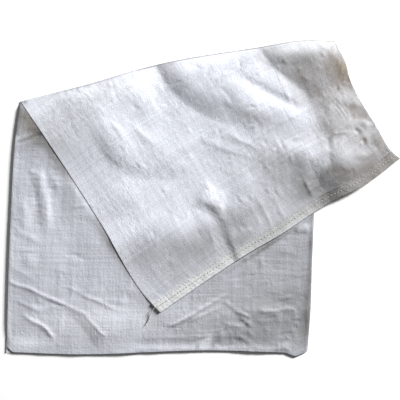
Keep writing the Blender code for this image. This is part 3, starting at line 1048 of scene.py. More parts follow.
@dataclass(frozen=True)
class Mouth:
    """The sack's cut mouth: uneven, nearly closed and a little curled. Sizes in metres.

    Fields:
        places: Places across the sack, 0 at its left side and 1 at its right.
        reaches: How far both plies reach past the plain outline at these places.
        tip_places: Where the tip near the right corner starts, has its point and ends.
        tip: How much further the upper ply reaches there.
        chamfer: How far the upper ply is cut back at its left corner.
        chamfer_width: Width of that cut, as a share of the sack's.
        cut_depth: How far from the mouth all this reaches into the cloth.
        curl: How far the mouth curls up.
        curl_side: Distance from the sides over which the curl grows.
        closing: How much of the way the upper ply comes down to the lower one.
        closed: Height of the upper ply where it is right down.
        closed_depth: How far from the mouth it comes down.
    """

    places: tuple[float, ...] = (0.45, 0.66, 0.79, 0.93, 0.99, 1.0)
    reaches: tuple[float, ...] = (0.0, 1.3 * MM, 4.0 * MM, 8.4 * MM, 8.4 * MM, 4.5 * MM)
    tip_places: tuple[float, float, float] = (0.925, 0.958, 0.99)
    tip: float = 6.0 * MM
    chamfer: float = 9.0 * MM
    chamfer_width: float = 0.02
    cut_depth: float = 40.0 * MM
    curl: float = 0.7 * MM
    curl_side: float = 3.0 * MM
    closing: float = 0.9
    closed: float = 0.6 * MM
    closed_depth: float = 60.0 * MM

    def cut(self, upper: np.ndarray, lower: np.ndarray, rows: SackRows, depth: np.ndarray) -> None:
        """Gives both plies the mouth's shape.

        Args:
            upper: Positions of the upper ply, changed in place.
            lower: Positions of the lower ply, changed in place.
            rows: The sack's rows, which know the places across it.
            depth: How far each row is from the mouth, in metres.
        """
        across = rows.across
        reach = np.interp(across, self.places, self.reaches)
        tip = self.tip * np.interp(across, self.tip_places, (0.0, 1.0, 0.0))
        fade = (1.0 - ease(depth / self.cut_depth))[:, None]
        lower[..., 1] -= fade * reach
        upper[..., 1] -= fade * (reach + tip)
        upper[..., 1] += fade * self.chamfer * np.interp(across, (0.0, self.chamfer_width), (1.0, 0.0))
        curl = self.curl * fade * ease(rows.from_side / self.curl_side)
        pinch = self.closing * (1.0 - ease(depth / self.closed_depth))[:, None] * np.ones_like(across)
        upper[..., 2] += pinch * (self.closed - upper[..., 2]) + curl
        lower[..., 2] += curl


@dataclass(frozen=True)
class CreaseRoom:
    """Where the cloth has room for creases, and how they fade where it has none. In metres.

    Fields:
        press: How far a crease may press into the layers below.
        roll_share: How much of the room in the roll a crease may take.
        shelter: How far under the flap the floor half's creases still reach.
        shelter_fade: Distance over which they grow from there.
        base_side: Distance from the floor half's sides over which its creases grow.
        base_least: Least height of the floor half's upper ply.
        slack: How far the flap's middle stands off the floor half for its own stiffness.
        slack_side: Distance from the flap's sides over which it does.
        slack_hem: How far from the hem it starts.
        slack_hem_fade: Distance from there over which it does.
        flap_left: Distance from the flap's left side over which its creases grow.
        softness: How softly a crease stops on the layer below.
        turn_start: Where in the roll the flap's creases start, as a share of its turn.
        turn_fade: Share of its turn over which they grow.
    """

    press: float = 0.45 * MM
    roll_share: float = 0.6
    shelter: float = 1.0 * MM
    shelter_fade: float = 9.0 * MM
    base_side: float = 7.0 * MM
    base_least: float = 0.6 * MM
    slack: float = 1.2 * MM
    slack_side: float = 110.0 * MM
    slack_hem: float = 16.0 * MM
    slack_hem_fade: float = 60.0 * MM
    flap_left: float = 100.0 * MM
    softness: float = 0.5 * MM
    turn_start: float = 0.25
    turn_fade: float = 0.6


class Stretch(Enum):
    """The stretches of the sack between its mouth and its sewn end, with their fine rows."""

    BASE = 216
    ROLL = 12
    FLAP = 168
    HEM_ROLL = 6
    STRIP = 15
    END = 3


@dataclass
class WovenSack:
    """The sack's fabric: one tube of two plies, wrinkled, hemmed and folded over.

    Fields:
        route: Its outlines and sizes.
        finish: Its material.
        mouth: Its cut mouth.
        room: Where its creases have room.
        interior: Fine columns between the rounded sides of one ply.
        side: Fine columns of one rounded side.
        pitch: How many fine steps one coarse step of the hidden cloth spans.
        tube_width: Width of the whole cut cloth, once round the tube, in metres.
        tube_length: Its length from the mouth to the turned-back end, in metres.
        base_length: Length of the floor half, from the mouth to the roll, in metres.
        wall: Thickness of the cloth at its cut edge, in metres.
        hidden_depth: How far under the flap the floor half is still made fine, in metres.
        mouth_share: Share of the floor half's lower ply that shows at the mouth.
        unbacked_shade: Painted shade on the flap where it reaches past the floor half, with no cloth under
            it.
        unbacked_shade_fade: Distance past the floor half over which that painted shade grows, in metres.
        fold_shade_width: Width of the thin grey line of painted shade along the fold's outer edge, in
            metres.
        fold_shade_places: Places across the sack between which that line gets stronger.
        fold_shade_depths: How much painted shade it takes there.
        hem_turn_shade: How much painted shade the turn of the hem takes.
        flap_layers: How much the flap counts as doubled cloth, from 0 to 1.
    """

    route: SackRoute
    finish: "WovenPolypropylene"
    mouth: Mouth = Mouth()
    room: CreaseRoom = CreaseRoom()
    interior: int = 210
    side: int = 3
    pitch: int = 3
    tube_width: float = 1.0
    tube_length: float = 0.82
    base_length: float = 0.46
    wall: float = 0.3 * MM
    hidden_depth: float = 6.0 * MM
    mouth_share: float = 0.045
    # painted shade on the flap past the floor half's right side
    unbacked_shade: TintSpot = TintSpot(Tint.SHADE_AND_GRIME, (216.0, 26.0), 36.0, 26.0, 80.0, 0.75)
    unbacked_shade_fade: float = 3.0 * MM
    # a thin line of painted shade along the fold's outer edge
    fold_shade_width: float = 3.4 * MM
    fold_shade_places: tuple[float, float] = (0.2, 0.5)
    fold_shade_depths: tuple[float, float] = (0.25, 1.2)
    # painted shade along the hem's turn
    hem_turn_shade: float = 0.45
    flap_layers: float = 0.45
    rows: list[tuple[Stretch, float]] = field(default_factory=list)

    def __post_init__(self) -> None:
        """Lays out the rows and columns and shapes both plies."""
        for stretch in Stretch:
            last = stretch.value + (1 if stretch is Stretch.END else 0)
            self.rows += [(stretch, step / stretch.value) for step in range(last)]
        angles = np.linspace(0.0, np.pi / 2.0, self.side + 1)
        nose = self.route.side_half * (1.0 - np.cos(angles)) / self.route.width
        inner = np.linspace(nose[-1], 1.0 - nose[-1], self.interior + 1)[1:-1]
        self.across = np.concatenate((nose, inner, 1.0 - nose[::-1]))
        full = np.ones(len(inner))
        self.side_off = np.concatenate((np.sin(angles), full, np.sin(angles[::-1])))
        self.sheet = SackRows(self.route, self.across)
        self.upper, self.lower = self.shape_plies()

    def row(self, stretch: Stretch, share: float) -> tuple[np.ndarray, np.ndarray, float]:
        """One row of the middle sheet.

        Args:
            stretch: Which part of the sack it is on.
            share: How far along that part.

        Returns:
            Positions, half thickness, and how far the plies stand apart for it, from 0 to 1.
        """
        sheet = self.sheet
        if stretch is Stretch.BASE:
            return *sheet.base_row(share), 1.0
        if stretch is Stretch.ROLL:
            return *sheet.roll_row(share * np.pi), 1.0
        if stretch is Stretch.FLAP:
            return *sheet.flap_row(share), 1.0
        if stretch is Stretch.HEM_ROLL:
            return *sheet.hem_roll_row(share * np.pi), 1.0
        if stretch is Stretch.STRIP:
            return *sheet.strip_row(share), 1.0
        angle = (1.0 - share) * np.pi / 2.0
        short = self.route.hem_half * (1.0 - np.cos(angle))
        return *sheet.strip_row(1.0, short), float(np.sin(angle))

    def span(self, stretch: Stretch) -> slice:
        """The rows of one stretch, without the next one's first."""
        places = [index for index, (kind, _) in enumerate(self.rows) if kind is stretch]
        return slice(places[0], places[-1] + 1)

    def lowest(self, stretch: Stretch, share: float, height: np.ndarray) -> np.ndarray:
        """How far down a crease may press one row of the middle sheet.

        Args:
            stretch: Which part of the sack the row is on.
            share: How far along that part.
            height: The row's own heights in metres.

        Returns:
            Lifts in metres, zero or below.
        """
        press = self.room.press
        if stretch in (Stretch.BASE, Stretch.ROLL):
            return -self.room.roll_share * np.maximum(height - 2.0 * self.route.side_half, 0.0) - press
        if stretch is Stretch.FLAP:
            return self.sheet.flap_rest(self.sheet.flap_along(share)) - height - press
        return np.full_like(height, -press)

    def shape_plies(self) -> tuple[np.ndarray, np.ndarray]:
        """Shapes both plies round the middle sheet, with their mouth and their creases.

        Returns:
            Positions of the upper and the lower ply, as grids of rows and columns.
        """
        parts = [self.row(stretch, share) for stretch, share in self.rows]
        middle = np.array([part[0] for part in parts])
        half = np.array([part[1] * part[2] for part in parts]) * self.side_off
        normal = np.cross(np.gradient(middle, axis=1), np.gradient(middle, axis=0))
        normal = normal / np.linalg.norm(normal, axis=-1, keepdims=True)
        upper = middle + normal * half[..., None]
        lower = middle - normal * half[..., None]
        base = self.span(Stretch.BASE)
        on_floor = np.zeros(half.shape, dtype=bool)
        on_floor[base, self.side:-self.side] = True
        lower[on_floor, 2] = 0.0
        depth = np.ones(len(self.rows))
        depth[base] = np.array([share for _, share in self.rows[base]]) * self.base_length
        self.mouth.cut(upper, lower, self.sheet, depth)
        self.wrinkle_base(upper, middle)
        self.wrinkle_flap(upper, lower, middle)
        return upper, lower

    def wrinkle_base(self, upper: np.ndarray, middle: np.ndarray) -> None:
        """Presses the creases of the floor half into its upper ply.

        Args:
            upper: Positions of the upper ply, changed in place.
            middle: The middle sheet before.
        """
        base = self.span(Stretch.BASE)
        room = self.room
        plan = middle[base, :, :2]
        lift = BASE_RELIEF.height(plan)
        lift = lift * ease((self.route.under_flap(plan) + room.shelter) / room.shelter_fade)
        lift = lift * ease(self.sheet.from_side / room.base_side)
        floor = room.base_least - upper[base, :, 2]
        upper[base, :, 2] += np.maximum(lift, np.minimum(floor, 0.0))

    def wrinkle_flap(self, upper: np.ndarray, lower: np.ndarray, middle: np.ndarray) -> None:
        """Presses the creases of the flap into both its plies, and the same into the hem.

        Args:
            upper: Positions of the upper ply, changed in place.
            lower: Positions of the lower ply, changed in place.
            middle: The middle sheet before.
        """
        start = self.span(Stretch.ROLL).start
        room, sheet = self.room, self.sheet
        plan = middle[start:, :, :2]
        from_hem = -self.route.hem.outside(plan.reshape(-1, 2)).reshape(plan.shape[:-1])
        slack = room.slack * ease(sheet.from_side / room.slack_side)
        slack = slack * ease((from_hem - room.slack_hem) / room.slack_hem_fade)
        lift = FLAP_RELIEF.height(plan) * ease(sheet.from_left / room.flap_left) + slack
        lift += EDGE_RELIEF.height(plan)
        lowest, turned = [], []
        for index, (stretch, share) in enumerate(self.rows[start:], start):
            lowest.append(self.lowest(stretch, share, middle[index, :, 2]))
            grown = ease((share - room.turn_start) / room.turn_fade) if stretch is Stretch.ROLL else 1.0
            turned.append(float(grown))
        lowest = np.array(lowest)
        lift = lowest + 0.5 * (lift - lowest + np.sqrt((lift - lowest) ** 2 + room.softness ** 2))
        lift = lift * np.array(turned)[:, None]
        upper[start:, :, 2] += lift
        lower[start:, :, 2] += lift

    @staticmethod
    def round_both(table: np.ndarray) -> np.ndarray:
        """A table over one ply, laid across the upper ply and back across the lower one."""
        return np.concatenate((table, table[:, -2::-1]), axis=1)

    def ring(self) -> np.ndarray:
        """Both plies as one grid, across the upper ply and back across the lower one."""
        return np.concatenate((self.upper, self.lower[:, -2::-1]), axis=1)

    def shown(self) -> np.ndarray:
        """Finds the cloth that is seen from above or from the sides.

        Returns:
            For each coarse cell of the ring, whether it shows.
        """
        pitch = self.pitch
        coarse = [self.rows[index] for index in range(0, len(self.rows) - 1, pitch)]
        columns = (len(self.across) - 1) // pitch
        outside = self.route.under_flap(self.upper[::pitch, ::pitch, :2])
        corners = (outside[:-1, :-1], outside[1:, :-1], outside[:-1, 1:], outside[1:, 1:])
        open_base = np.maximum.reduce(corners)
        sides = np.zeros(columns, dtype=bool)
        sides[:2] = sides[-2:] = True
        cells = np.zeros((len(coarse), 2 * columns), dtype=bool)
        for index, (stretch, share) in enumerate(coarse):
            upper, lower = sides.copy(), sides.copy()
            if stretch is Stretch.BASE:
                upper |= open_base[index] > -self.hidden_depth
                lower |= share < self.mouth_share
            elif stretch in (Stretch.ROLL, Stretch.FLAP):
                lower[:] = True
            else:
                upper[:] = True
                lower |= stretch is not Stretch.STRIP
            cells[index, :columns] = upper
            cells[index, columns:] = lower[::-1]
        return cells

    def weave_places(self) -> tuple[np.ndarray, np.ndarray, np.ndarray]:
        """Finds where each point lies in the flat cloth, in metres.

        Returns:
            Place round the tube, and place along it as counted from the mouth and from the hem.
        """
        around = np.concatenate((self.across, 2.0 - self.across[-2::-1])) * self.tube_width / 2.0
        middle = (self.upper + self.lower) / 2.0
        steps = np.linalg.norm(np.diff(middle, axis=0), axis=-1)
        run = np.concatenate((np.zeros((1, len(self.across))), np.cumsum(steps, axis=0)))
        hem = self.span(Stretch.HEM_ROLL).start
        from_mouth = self.round_both(run)
        from_hem = self.round_both(self.tube_length + run - run[hem])
        return np.broadcast_to(around, from_mouth.shape), from_mouth, from_hem

    def build(self) -> bpy.types.Object:
        """Makes the fabric and dresses it.

        Returns:
            The piece, which rides on the root body and replaces the CAD solid.
        """
        mesh = self.flat_grid()
        self.place(mesh)
        self.close(mesh)
        piece = bpy.data.objects.new("woven_cloth", mesh)
        bpy.context.scene.collection.objects.link(piece)
        rim = piece.modifiers.new("cut edge", "SOLIDIFY")
        rim.thickness = self.wall
        rim.offset = -1.0
        rim.use_rim = True
        rim.use_rim_only = True
        mesh.materials.append(self.finish.material())
        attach(piece, ROOT)
        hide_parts("woven_sack")
        triangles = sum(len(polygon.vertices) - 2 for polygon in mesh.polygons)
        LOG.info("woven_cloth: %d triangles", triangles)
        return piece

    def flat_grid(self) -> bpy.types.Mesh:
        """Makes the flat cloth, fine where it shows.

        Returns:
            A grid one unit square, with the ring's columns along X and its rows along Y.
        """
        cells = self.shown()
        cloth = bmesh.new()
        bmesh.ops.create_grid(cloth, x_segments=cells.shape[1], y_segments=cells.shape[0], size=0.5)
        fine = set()
        for face in cloth.faces:
            middle = face.calc_center_median()
            column = int((middle.x + 0.5) * cells.shape[1])
            row = int((middle.y + 0.5) * cells.shape[0])
            if cells[row, column]:
                fine.update(face.edges)
        bmesh.ops.subdivide_edges(
            cloth, edges=list(fine), cuts=self.pitch - 1, use_grid_fill=True,
            quad_corner_type="STRAIGHT_CUT",
        )
        mesh = bpy.data.meshes.new("woven_cloth")
        cloth.to_mesh(mesh)
        cloth.free()
        return mesh

    def place(self, mesh: bpy.types.Mesh) -> None:
        """Moves the flat grid's points onto the sack and writes its weave map and attributes.

        Args:
            mesh: The flat grid, changed in place.
        """
        ring = self.ring()
        flat = np.empty(len(mesh.vertices) * 3)
        mesh.vertices.foreach_get("co", flat)
        flat = flat.reshape(-1, 3)
        column = np.clip((flat[:, 0] + 0.5) * (ring.shape[1] - 1), 0.0, ring.shape[1] - 1.0)
        row = np.clip((flat[:, 1] + 0.5) * (ring.shape[0] - 1), 0.0, ring.shape[0] - 1.0)
        mesh.vertices.foreach_set("co", self.between(ring, row, column).ravel())
        around, from_mouth, from_hem = (self.between(table, row, column) for table in self.weave_places())
        loops = np.empty(len(mesh.loops), dtype=np.int32)
        mesh.loops.foreach_get("vertex_index", loops)
        totals = np.empty(len(mesh.polygons), dtype=np.int32)
        mesh.polygons.foreach_get("loop_total", totals)
        owner = np.repeat(np.arange(len(totals)), totals)
        face_row = np.bincount(owner, weights=row[loops]) / totals
        roll = self.span(Stretch.ROLL)
        folded = face_row[owner] > (roll.start + roll.stop) / 2.0
        along = np.where(folded, from_hem[loops], from_mouth[loops])
        places = np.stack((around[loops], along), axis=-1)
        weave = mesh.uv_layers.new(name="weave")
        weave.uv.foreach_set("vector", places.astype(np.float32).ravel())
        for name, table in self.marks().items():
            layer = mesh.attributes.new(name, "FLOAT", "POINT")
            layer.data.foreach_set("value", self.between(table, row, column).astype(np.float32))

    @staticmethod
    def between(table: np.ndarray, row: np.ndarray, column: np.ndarray) -> np.ndarray:
        """Reads a table between its rows and columns.

        Args:
            table: Numbers or positions, by row and column.
            row: Rows to read, whole or not.
            column: Columns to read, as many.

        Returns:
            One number or position for each.
        """
        rounding = 1e-4
        low_row = np.clip(np.floor(row + rounding).astype(int), 0, table.shape[0] - 2)
        low_column = np.clip(np.floor(column + rounding).astype(int), 0, table.shape[1] - 2)
        up, side = row - low_row, column - low_column
        if table.ndim == 3:
            up, side = up[:, None], side[:, None]
        near = table[low_row, low_column] * (1 - side) + table[low_row, low_column + 1] * side
        far = table[low_row + 1, low_column] * (1 - side) + table[low_row + 1, low_column + 1] * side
        return near * (1 - up) + far * up

    def marks(self) -> dict[str, np.ndarray]:
        """Works out what the finish reads from the cloth.

        Returns:
            Tables over the ring by the name of their attribute: where the cloth is doubled, how
            far it is from the middle of the seam, and each tint.
        """
        doubled = np.zeros(self.upper.shape[:2])
        doubled[self.span(Stretch.ROLL).start:] = self.flap_layers
        doubled[self.span(Stretch.HEM_ROLL).start:] = 1.0
        far_from_seam = -0.1
        offset = np.full(self.upper.shape[:2], far_from_seam)
        strip = self.span(Stretch.STRIP)
        for index, (stretch, share) in enumerate(self.rows[strip.start:], strip.start):
            share = 1.0 if stretch is Stretch.END else share
            offset[index] = (share - 0.5) * self.sheet.hem_width
        tables = {"doubled": self.round_both(doubled), "seam_offset": self.round_both(offset)}
        for name in Tint:
            tables[name.value] = self.tint(name)
        return tables

    def tint(self, name: Tint) -> np.ndarray:
        """Works out how much of one tint the cloth takes.

        Args:
            name: Which tint.

        Returns:
            Amounts from 0 to 1 over the ring.
        """
        ring = self.ring()[..., :2]
        roll = self.span(Stretch.ROLL)
        edge = (roll.start + roll.stop) // 2
        inside = np.linalg.norm(ring[edge:] - ring[edge], axis=-1)
        # a thin line of painted shade along the fold's outer edge, kept free of painted sheen
        fold_shade = np.exp(-((inside / self.fold_shade_width) ** 4))
        total = np.zeros(ring.shape[:-1])
        if name is Tint.SHADE_AND_GRIME:
            around = np.concatenate((self.across, self.across[-2::-1]))
            total[edge:] = fold_shade * np.interp(around, self.fold_shade_places, self.fold_shade_depths)
            # painted shade along the hem's turn
            total[self.span(Stretch.HEM_ROLL)] = self.hem_turn_shade
            # painted shade on the flap where it reaches past the floor half's side
            beyond = (self.route.base_across(ring) - 1.0) * self.route.width
            unbacked_shade = self.unbacked_shade.depth(ring) * ease(beyond / self.unbacked_shade_fade)
            total[roll.stop:] += unbacked_shade[roll.stop:]
        halves = ((FLOOR_TINT_SPOTS, slice(0, roll.start)), (FLAP_TINT_SPOTS, slice(roll.start, None)))
        for spots, rows in halves:
            for stain in spots:
                if stain.layer is name:
                    total[rows] += stain.depth(ring[rows])
        # the painted sheen stops short of the fold's line of painted shade
        if name is Tint.SHEEN:
            total[edge:] *= 1.0 - fold_shade
        return np.clip(total, 0.0, 1.0)

    def close(self, mesh: bpy.types.Mesh) -> None:
        """Joins the tube along its side and closes its sewn end.

        Args:
            mesh: The shaped cloth, changed in place.
        """
        touching = 0.01 * MM
        cloth = bmesh.new()
        cloth.from_mesh(mesh)
        bmesh.ops.remove_doubles(cloth, verts=cloth.verts, dist=touching)
        bmesh.ops.recalc_face_normals(cloth, faces=cloth.faces)
        cloth.to_mesh(mesh)
        cloth.free()
        mesh.shade_smooth()

    def seam_path(self, count: int) -> np.ndarray:
        """Points along the middle of the hem, on the cloth.

        Args:
            count: How many points.

        Returns:
            Positions in metres, from the hem's left end to its right end.
        """
        strip = self.span(Stretch.STRIP)
        row = strip.start + (strip.stop - strip.start) // 2
        line = self.upper[row] * 0.5 + self.upper[row + 1] * 0.5
        places = np.linspace(self.across[self.side], self.across[-1 - self.side], count)
        return np.stack([np.interp(places, self.across, line[:, axis]) for axis in range(3)], axis=-1)


# The finishes


@dataclass(frozen=True)
class Nodes:
    """The nodes of one material.

    Fields:
        tree: Its node tree.
    """

    tree: bpy.types.NodeTree

    def add(
        self, kind: str, settings: Settings | None = None, links: Links | None = None
    ) -> bpy.types.Node:
        """Adds a node with its settings and links.

        Args:
            kind: The node's type, such as ShaderNodeMath.
            settings: Values for its properties, or for its input sockets by name or index.
            links: Output sockets to join to its inputs, by the input's name or index.

        Returns:
            The new node.
        """
        node = self.tree.nodes.new(kind)
        for name, value in (settings or {}).items():
            if isinstance(name, str) and hasattr(node, name):
                setattr(node, name, value)
            else:
                node.inputs[name].default_value = value
        for name, socket in (links or {}).items():
            self.tree.links.new(socket, node.inputs[name])
        return node

    def maths(self, operation: str, links: Links, value: float | None = None) -> Socket:
        """Works out one number.

        Args:
            operation: How, such as MULTIPLY.
            links: The sockets that it reads, by the input's index.
            value: The second number, where that is fixed.

        Returns:
            The result.
        """
        settings: Settings = {"operation": operation}
        if value is not None:
            settings[1] = value
        return self.add("ShaderNodeMath", settings, links).outputs[0]

    def drawn(self, places: Socket, factors: tuple[float, float, float]) -> Socket:
        """Multiplies places by a factor for each axis, so that a texture over them is drawn out."""
        settings: Settings = {"operation": "MULTIPLY", 1: factors}
        return self.add("ShaderNodeVectorMath", settings, {0: places}).outputs["Vector"]

    def noise(self, places: Socket, settings: Settings) -> bpy.types.Node:
        """Adds a flat noise texture over places."""
        return self.add("ShaderNodeTexNoise", {"noise_dimensions": "2D", **settings}, {"Vector": places})

    def spread(self, value: Socket, settings: Settings) -> Socket:
        """Maps a number from one range to another."""
        return self.add("ShaderNodeMapRange", settings, {"Value": value}).outputs["Result"]

    def marked(self, name: str) -> Socket:
        """Reads a number that the mesh carries at its points."""
        return self.add("ShaderNodeAttribute", {"attribute_name": name}).outputs["Fac"]

    def laid_over(self, colour: Socket, code: str, amount: Socket) -> Socket:
        """Lays an even colour over another one, by an amount from 0 to 1."""
        settings: Settings = {"data_type": "RGBA", 7: linear(code)}
        return self.add("ShaderNodeMix", settings, {0: amount, 6: colour}).outputs[2]

    def bumped(self, settings: Settings, links: Links) -> Socket:
        """Tilts the surface's normal by a height."""
        return self.add("ShaderNodeBump", settings, links).outputs["Normal"]


@dataclass(frozen=True)
class Weave(Nodes):
    """The nodes of woven cloth, with what they read of its mesh.

    Fields:
        place: Place in the flat cloth, in metres.
        tapes: The same, in tapes.
        warp: Place across the warp tapes, in tapes.
        weft: Place across the weft tapes, in tapes.
        doubled: How much the cloth counts as doubled, near 0.5 on the flap and 1 at the hem.
    """

    place: Socket
    tapes: Socket
    warp: Socket
    weft: Socket
    doubled: Socket

    @classmethod
    def over(cls, tree: bpy.types.NodeTree, tape: float) -> "Weave":
        """Reads the mesh.

        Args:
            tree: The material's node tree.
            tape: Width of a tape, in metres.

        Returns:
            The nodes.
        """
        nodes = Nodes(tree)
        place = nodes.add("ShaderNodeUVMap", {"uv_map": "weave"}).outputs["UV"]
        settings: Settings = {"operation": "SCALE", "Scale": 1.0 / tape}
        tapes = nodes.add("ShaderNodeVectorMath", settings, {0: place}).outputs["Vector"]
        split = nodes.add("ShaderNodeSeparateXYZ", None, {"Vector": tapes})
        return cls(tree, place, tapes, split.outputs["X"], split.outputs["Y"], nodes.marked("doubled"))


@dataclass(frozen=True)
class WovenPolypropylene:
    """Flat polypropylene tapes, slit from film, stretched and woven plain into a tube.

    Fields:
        clean: Colour of clean cloth.
        lit: Paler colour of the flap, partly for its extra layers and partly painted light that makes it
            brighter than the floor half.
        hemmed: Colour of the doubled hem.
        shade_and_grime: Colour of painted shade, and of some rubbed-in dust.
        tan: Colour of the faint brown cast laid on the flap's right end and a few other places.
        sheen: Colour of painted sheen, highlights laid into the cloth's colour.
        hole: Colour of the painted shade in the needle's holes.
        patchiness: Least and most of a tint that a patch of cloth takes, as factors on it.
        stitch: Distance from hole to hole, in metres.
        seam_rows: Where the two rows of holes run, in metres from the middle of the hem.
        hole_radii: Where a hole's shadow starts to fade and where it ends, in metres.
        hole_depth: How dark a hole is, from 0 to 1.
        tape: Width of a tape, in metres. Real tapes of this sack are about 2.5 mm wide.
        own_tone: How much of a tape's tone is one for all its length.
        tone_drift: How slowly the rest changes along it, as a share of across it.
        shades: Darkest and palest tape, as factors on the cloth's colour.
        gloss: Roughness of the stretched film.
        rub: How much rougher some tapes are.
        refraction: Index of refraction of polypropylene.
        weave_rise: How far a tape stands over the one that it crosses, in metres.
        tension_rise: Height of the streaks where some tapes are drawn tighter than others, in metres.
        flap_tension: How high these streaks are on the flap and the hem, as a share of that.
        crinkle_rise: Height of wrinkles too fine for the mesh, in metres.
        pucker_rise: Height of the puckers that the stitches pull into the hem, in metres.
        facet_rise: Height of the small facets that handling has pressed into it, in metres.
    """

    clean: str = "#B2B4BC"
    # paler colour of the flap, partly painted light
    lit: str = "#CACDD5"
    hemmed: str = "#D0D1D2"
    # painted shade, with some dust
    shade_and_grime: str = "#6E6D6D"
    tan: str = "#948778"
    # painted sheen
    sheen: str = "#E9ECF3"
    # painted shade in the needle's holes
    hole: str = "#4C4B47"
    patchiness: tuple[float, float] = (0.45, 1.35)
    stitch: float = 5.8 * MM
    seam_rows: tuple[float, float] = (0.0, 6.8 * MM)
    hole_radii: tuple[float, float] = (0.5 * MM, 1.6 * MM)
    hole_depth: float = 0.38
    tape: float = 2.5 * MM
    own_tone: float = 0.27
    tone_drift: float = 0.035
    shades: tuple[float, float] = (0.7, 1.28)
    gloss: float = 0.44
    rub: float = 0.16
    refraction: float = 1.49
    weave_rise: float = 0.09 * MM
    tension_rise: float = 0.16 * MM
    flap_tension: float = 0.25
    crinkle_rise: float = 0.35 * MM
    pucker_rise: float = 0.5 * MM
    facet_rise: float = 0.35 * MM

    def material(self) -> bpy.types.Material:
        """Makes the cloth's material.

        Stretched film gives each tape a soft shine of its own, so the weave reads as fine
        streaks both ways, and every crease catches the light.

        Returns:
            The material.
        """
        material = bpy.data.materials.new("woven_polypropylene_tape_cloth")
        material.use_nodes = True
        nodes = Weave.over(material.node_tree, self.tape)
        shader = nodes.tree.nodes["Principled BSDF"]
        tone = self.tape_tone(nodes)
        nodes.tree.links.new(self.colour(nodes, tone), shader.inputs["Base Color"])
        rough = nodes.spread(tone, {"To Min": self.gloss, "To Max": self.gloss + self.rub})
        nodes.tree.links.new(rough, shader.inputs["Roughness"])
        shader.inputs["IOR"].default_value = self.refraction
        normal = self.drawn_tight(nodes, self.wrinkled(nodes, self.woven(nodes)))
        nodes.tree.links.new(self.faceted(nodes, normal), shader.inputs["Normal"])
        return material

    def crossing(self, nodes: Weave) -> Socket:
        """Works out which tape is on top.

        Args:
            nodes: The cloth's nodes.

        Returns:
            A number above zero where the warp is on top and below where the weft is.
        """
        waves = []
        for socket in (nodes.warp, nodes.weft):
            turned = nodes.maths("MULTIPLY", {0: socket}, np.pi)
            waves.append(nodes.maths("SINE", {0: turned}))
        return nodes.maths("MULTIPLY", {0: waves[0], 1: waves[1]})

    def tape_tone(self, nodes: Weave) -> Socket:
        """Works out a tone that differs from tape to tape and drifts along each.

        Args:
            nodes: The cloth's nodes.

        Returns:
            The tone of the tape on top, from 0 to 1.
        """
        tones = []
        slow = self.tone_drift
        for socket, factors in ((nodes.warp, (1.0, slow, 1.0)), (nodes.weft, (slow, 1.0, 1.0))):
            along = nodes.drawn(nodes.tapes, factors)
            drift = nodes.noise(along, {"Scale": 0.4, "Detail": 3.0, "Roughness": 0.6}).outputs["Fac"]
            number = nodes.maths("FLOOR", {0: socket})
            own = nodes.add("ShaderNodeTexWhiteNoise", {"noise_dimensions": "1D"}, {"W": number})
            settings: Settings = {"data_type": "FLOAT", 0: self.own_tone}
            links: Links = {2: drift, 3: own.outputs["Value"]}
            tones.append(nodes.add("ShaderNodeMix", settings, links).outputs[0])
        over = self.crossing(nodes)
        on_top = nodes.spread(over, {"From Min": -0.5, "From Max": 0.5})
        links = {0: on_top, 2: tones[1], 3: tones[0]}
        return nodes.add("ShaderNodeMix", {"data_type": "FLOAT"}, links).outputs[0]

    def colour(self, nodes: Weave, tone: Socket) -> Socket:
        """Works out the tapes' colour with its tints of painted shade, brown cast and painted sheen, its
        doubled hem and the painted shade in the needle's holes.

        Args:
            nodes: The cloth's nodes.
            tone: The tone of the tape on top, from 0 to 1.

        Returns:
            The colour.
        """
        colour = self.layers(nodes)
        cloud = nodes.noise(nodes.place, {"Scale": 18.0, "Detail": 4.0, "Roughness": 0.6}).outputs["Fac"]
        least, most = self.patchiness
        # painted sheen, then painted shade with some dust, then the brown cast
        for tint, code in ((Tint.SHEEN, self.sheen), (Tint.SHADE_AND_GRIME, self.shade_and_grime), (Tint.TAN, self.tan)):
            share = nodes.marked(tint.value)
            patchy = nodes.spread(cloud, {"To Min": least, "To Max": most})
            settings: Settings = {"operation": "MULTIPLY", "use_clamp": True}
            amount = nodes.add("ShaderNodeMath", settings, {0: share, 1: patchy}).outputs[0]
            colour = nodes.laid_over(colour, code, amount)
        # painted shade in the needle's holes
        colour = nodes.laid_over(colour, self.hole, self.needle_holes(nodes))
        darkest, palest = self.shades
        shade = nodes.spread(tone, {"To Min": darkest, "To Max": palest})
        links: Links = {0: colour, "Scale": shade}
        return nodes.add("ShaderNodeVectorMath", {"operation": "SCALE"}, links).outputs["Vector"]

    def layers(self, nodes: Weave) -> Socket:
        """Works out the cloth's colour before its tints: clean, paler on the flap (partly painted light)
        and palest at the hem.

        Args:
            nodes: The cloth's nodes.

        Returns:
            The colour.
        """
        ramp = nodes.add("ShaderNodeValToRGB", None, {"Fac": nodes.doubled})
        stops = ramp.color_ramp.elements
        stops[0].color = linear(self.clean)
        stops[1].color = linear(self.hemmed)
        # paler colour of the flap, partly painted light
        stops.new(0.5).color = linear(self.lit)
        return ramp.outputs["Color"]

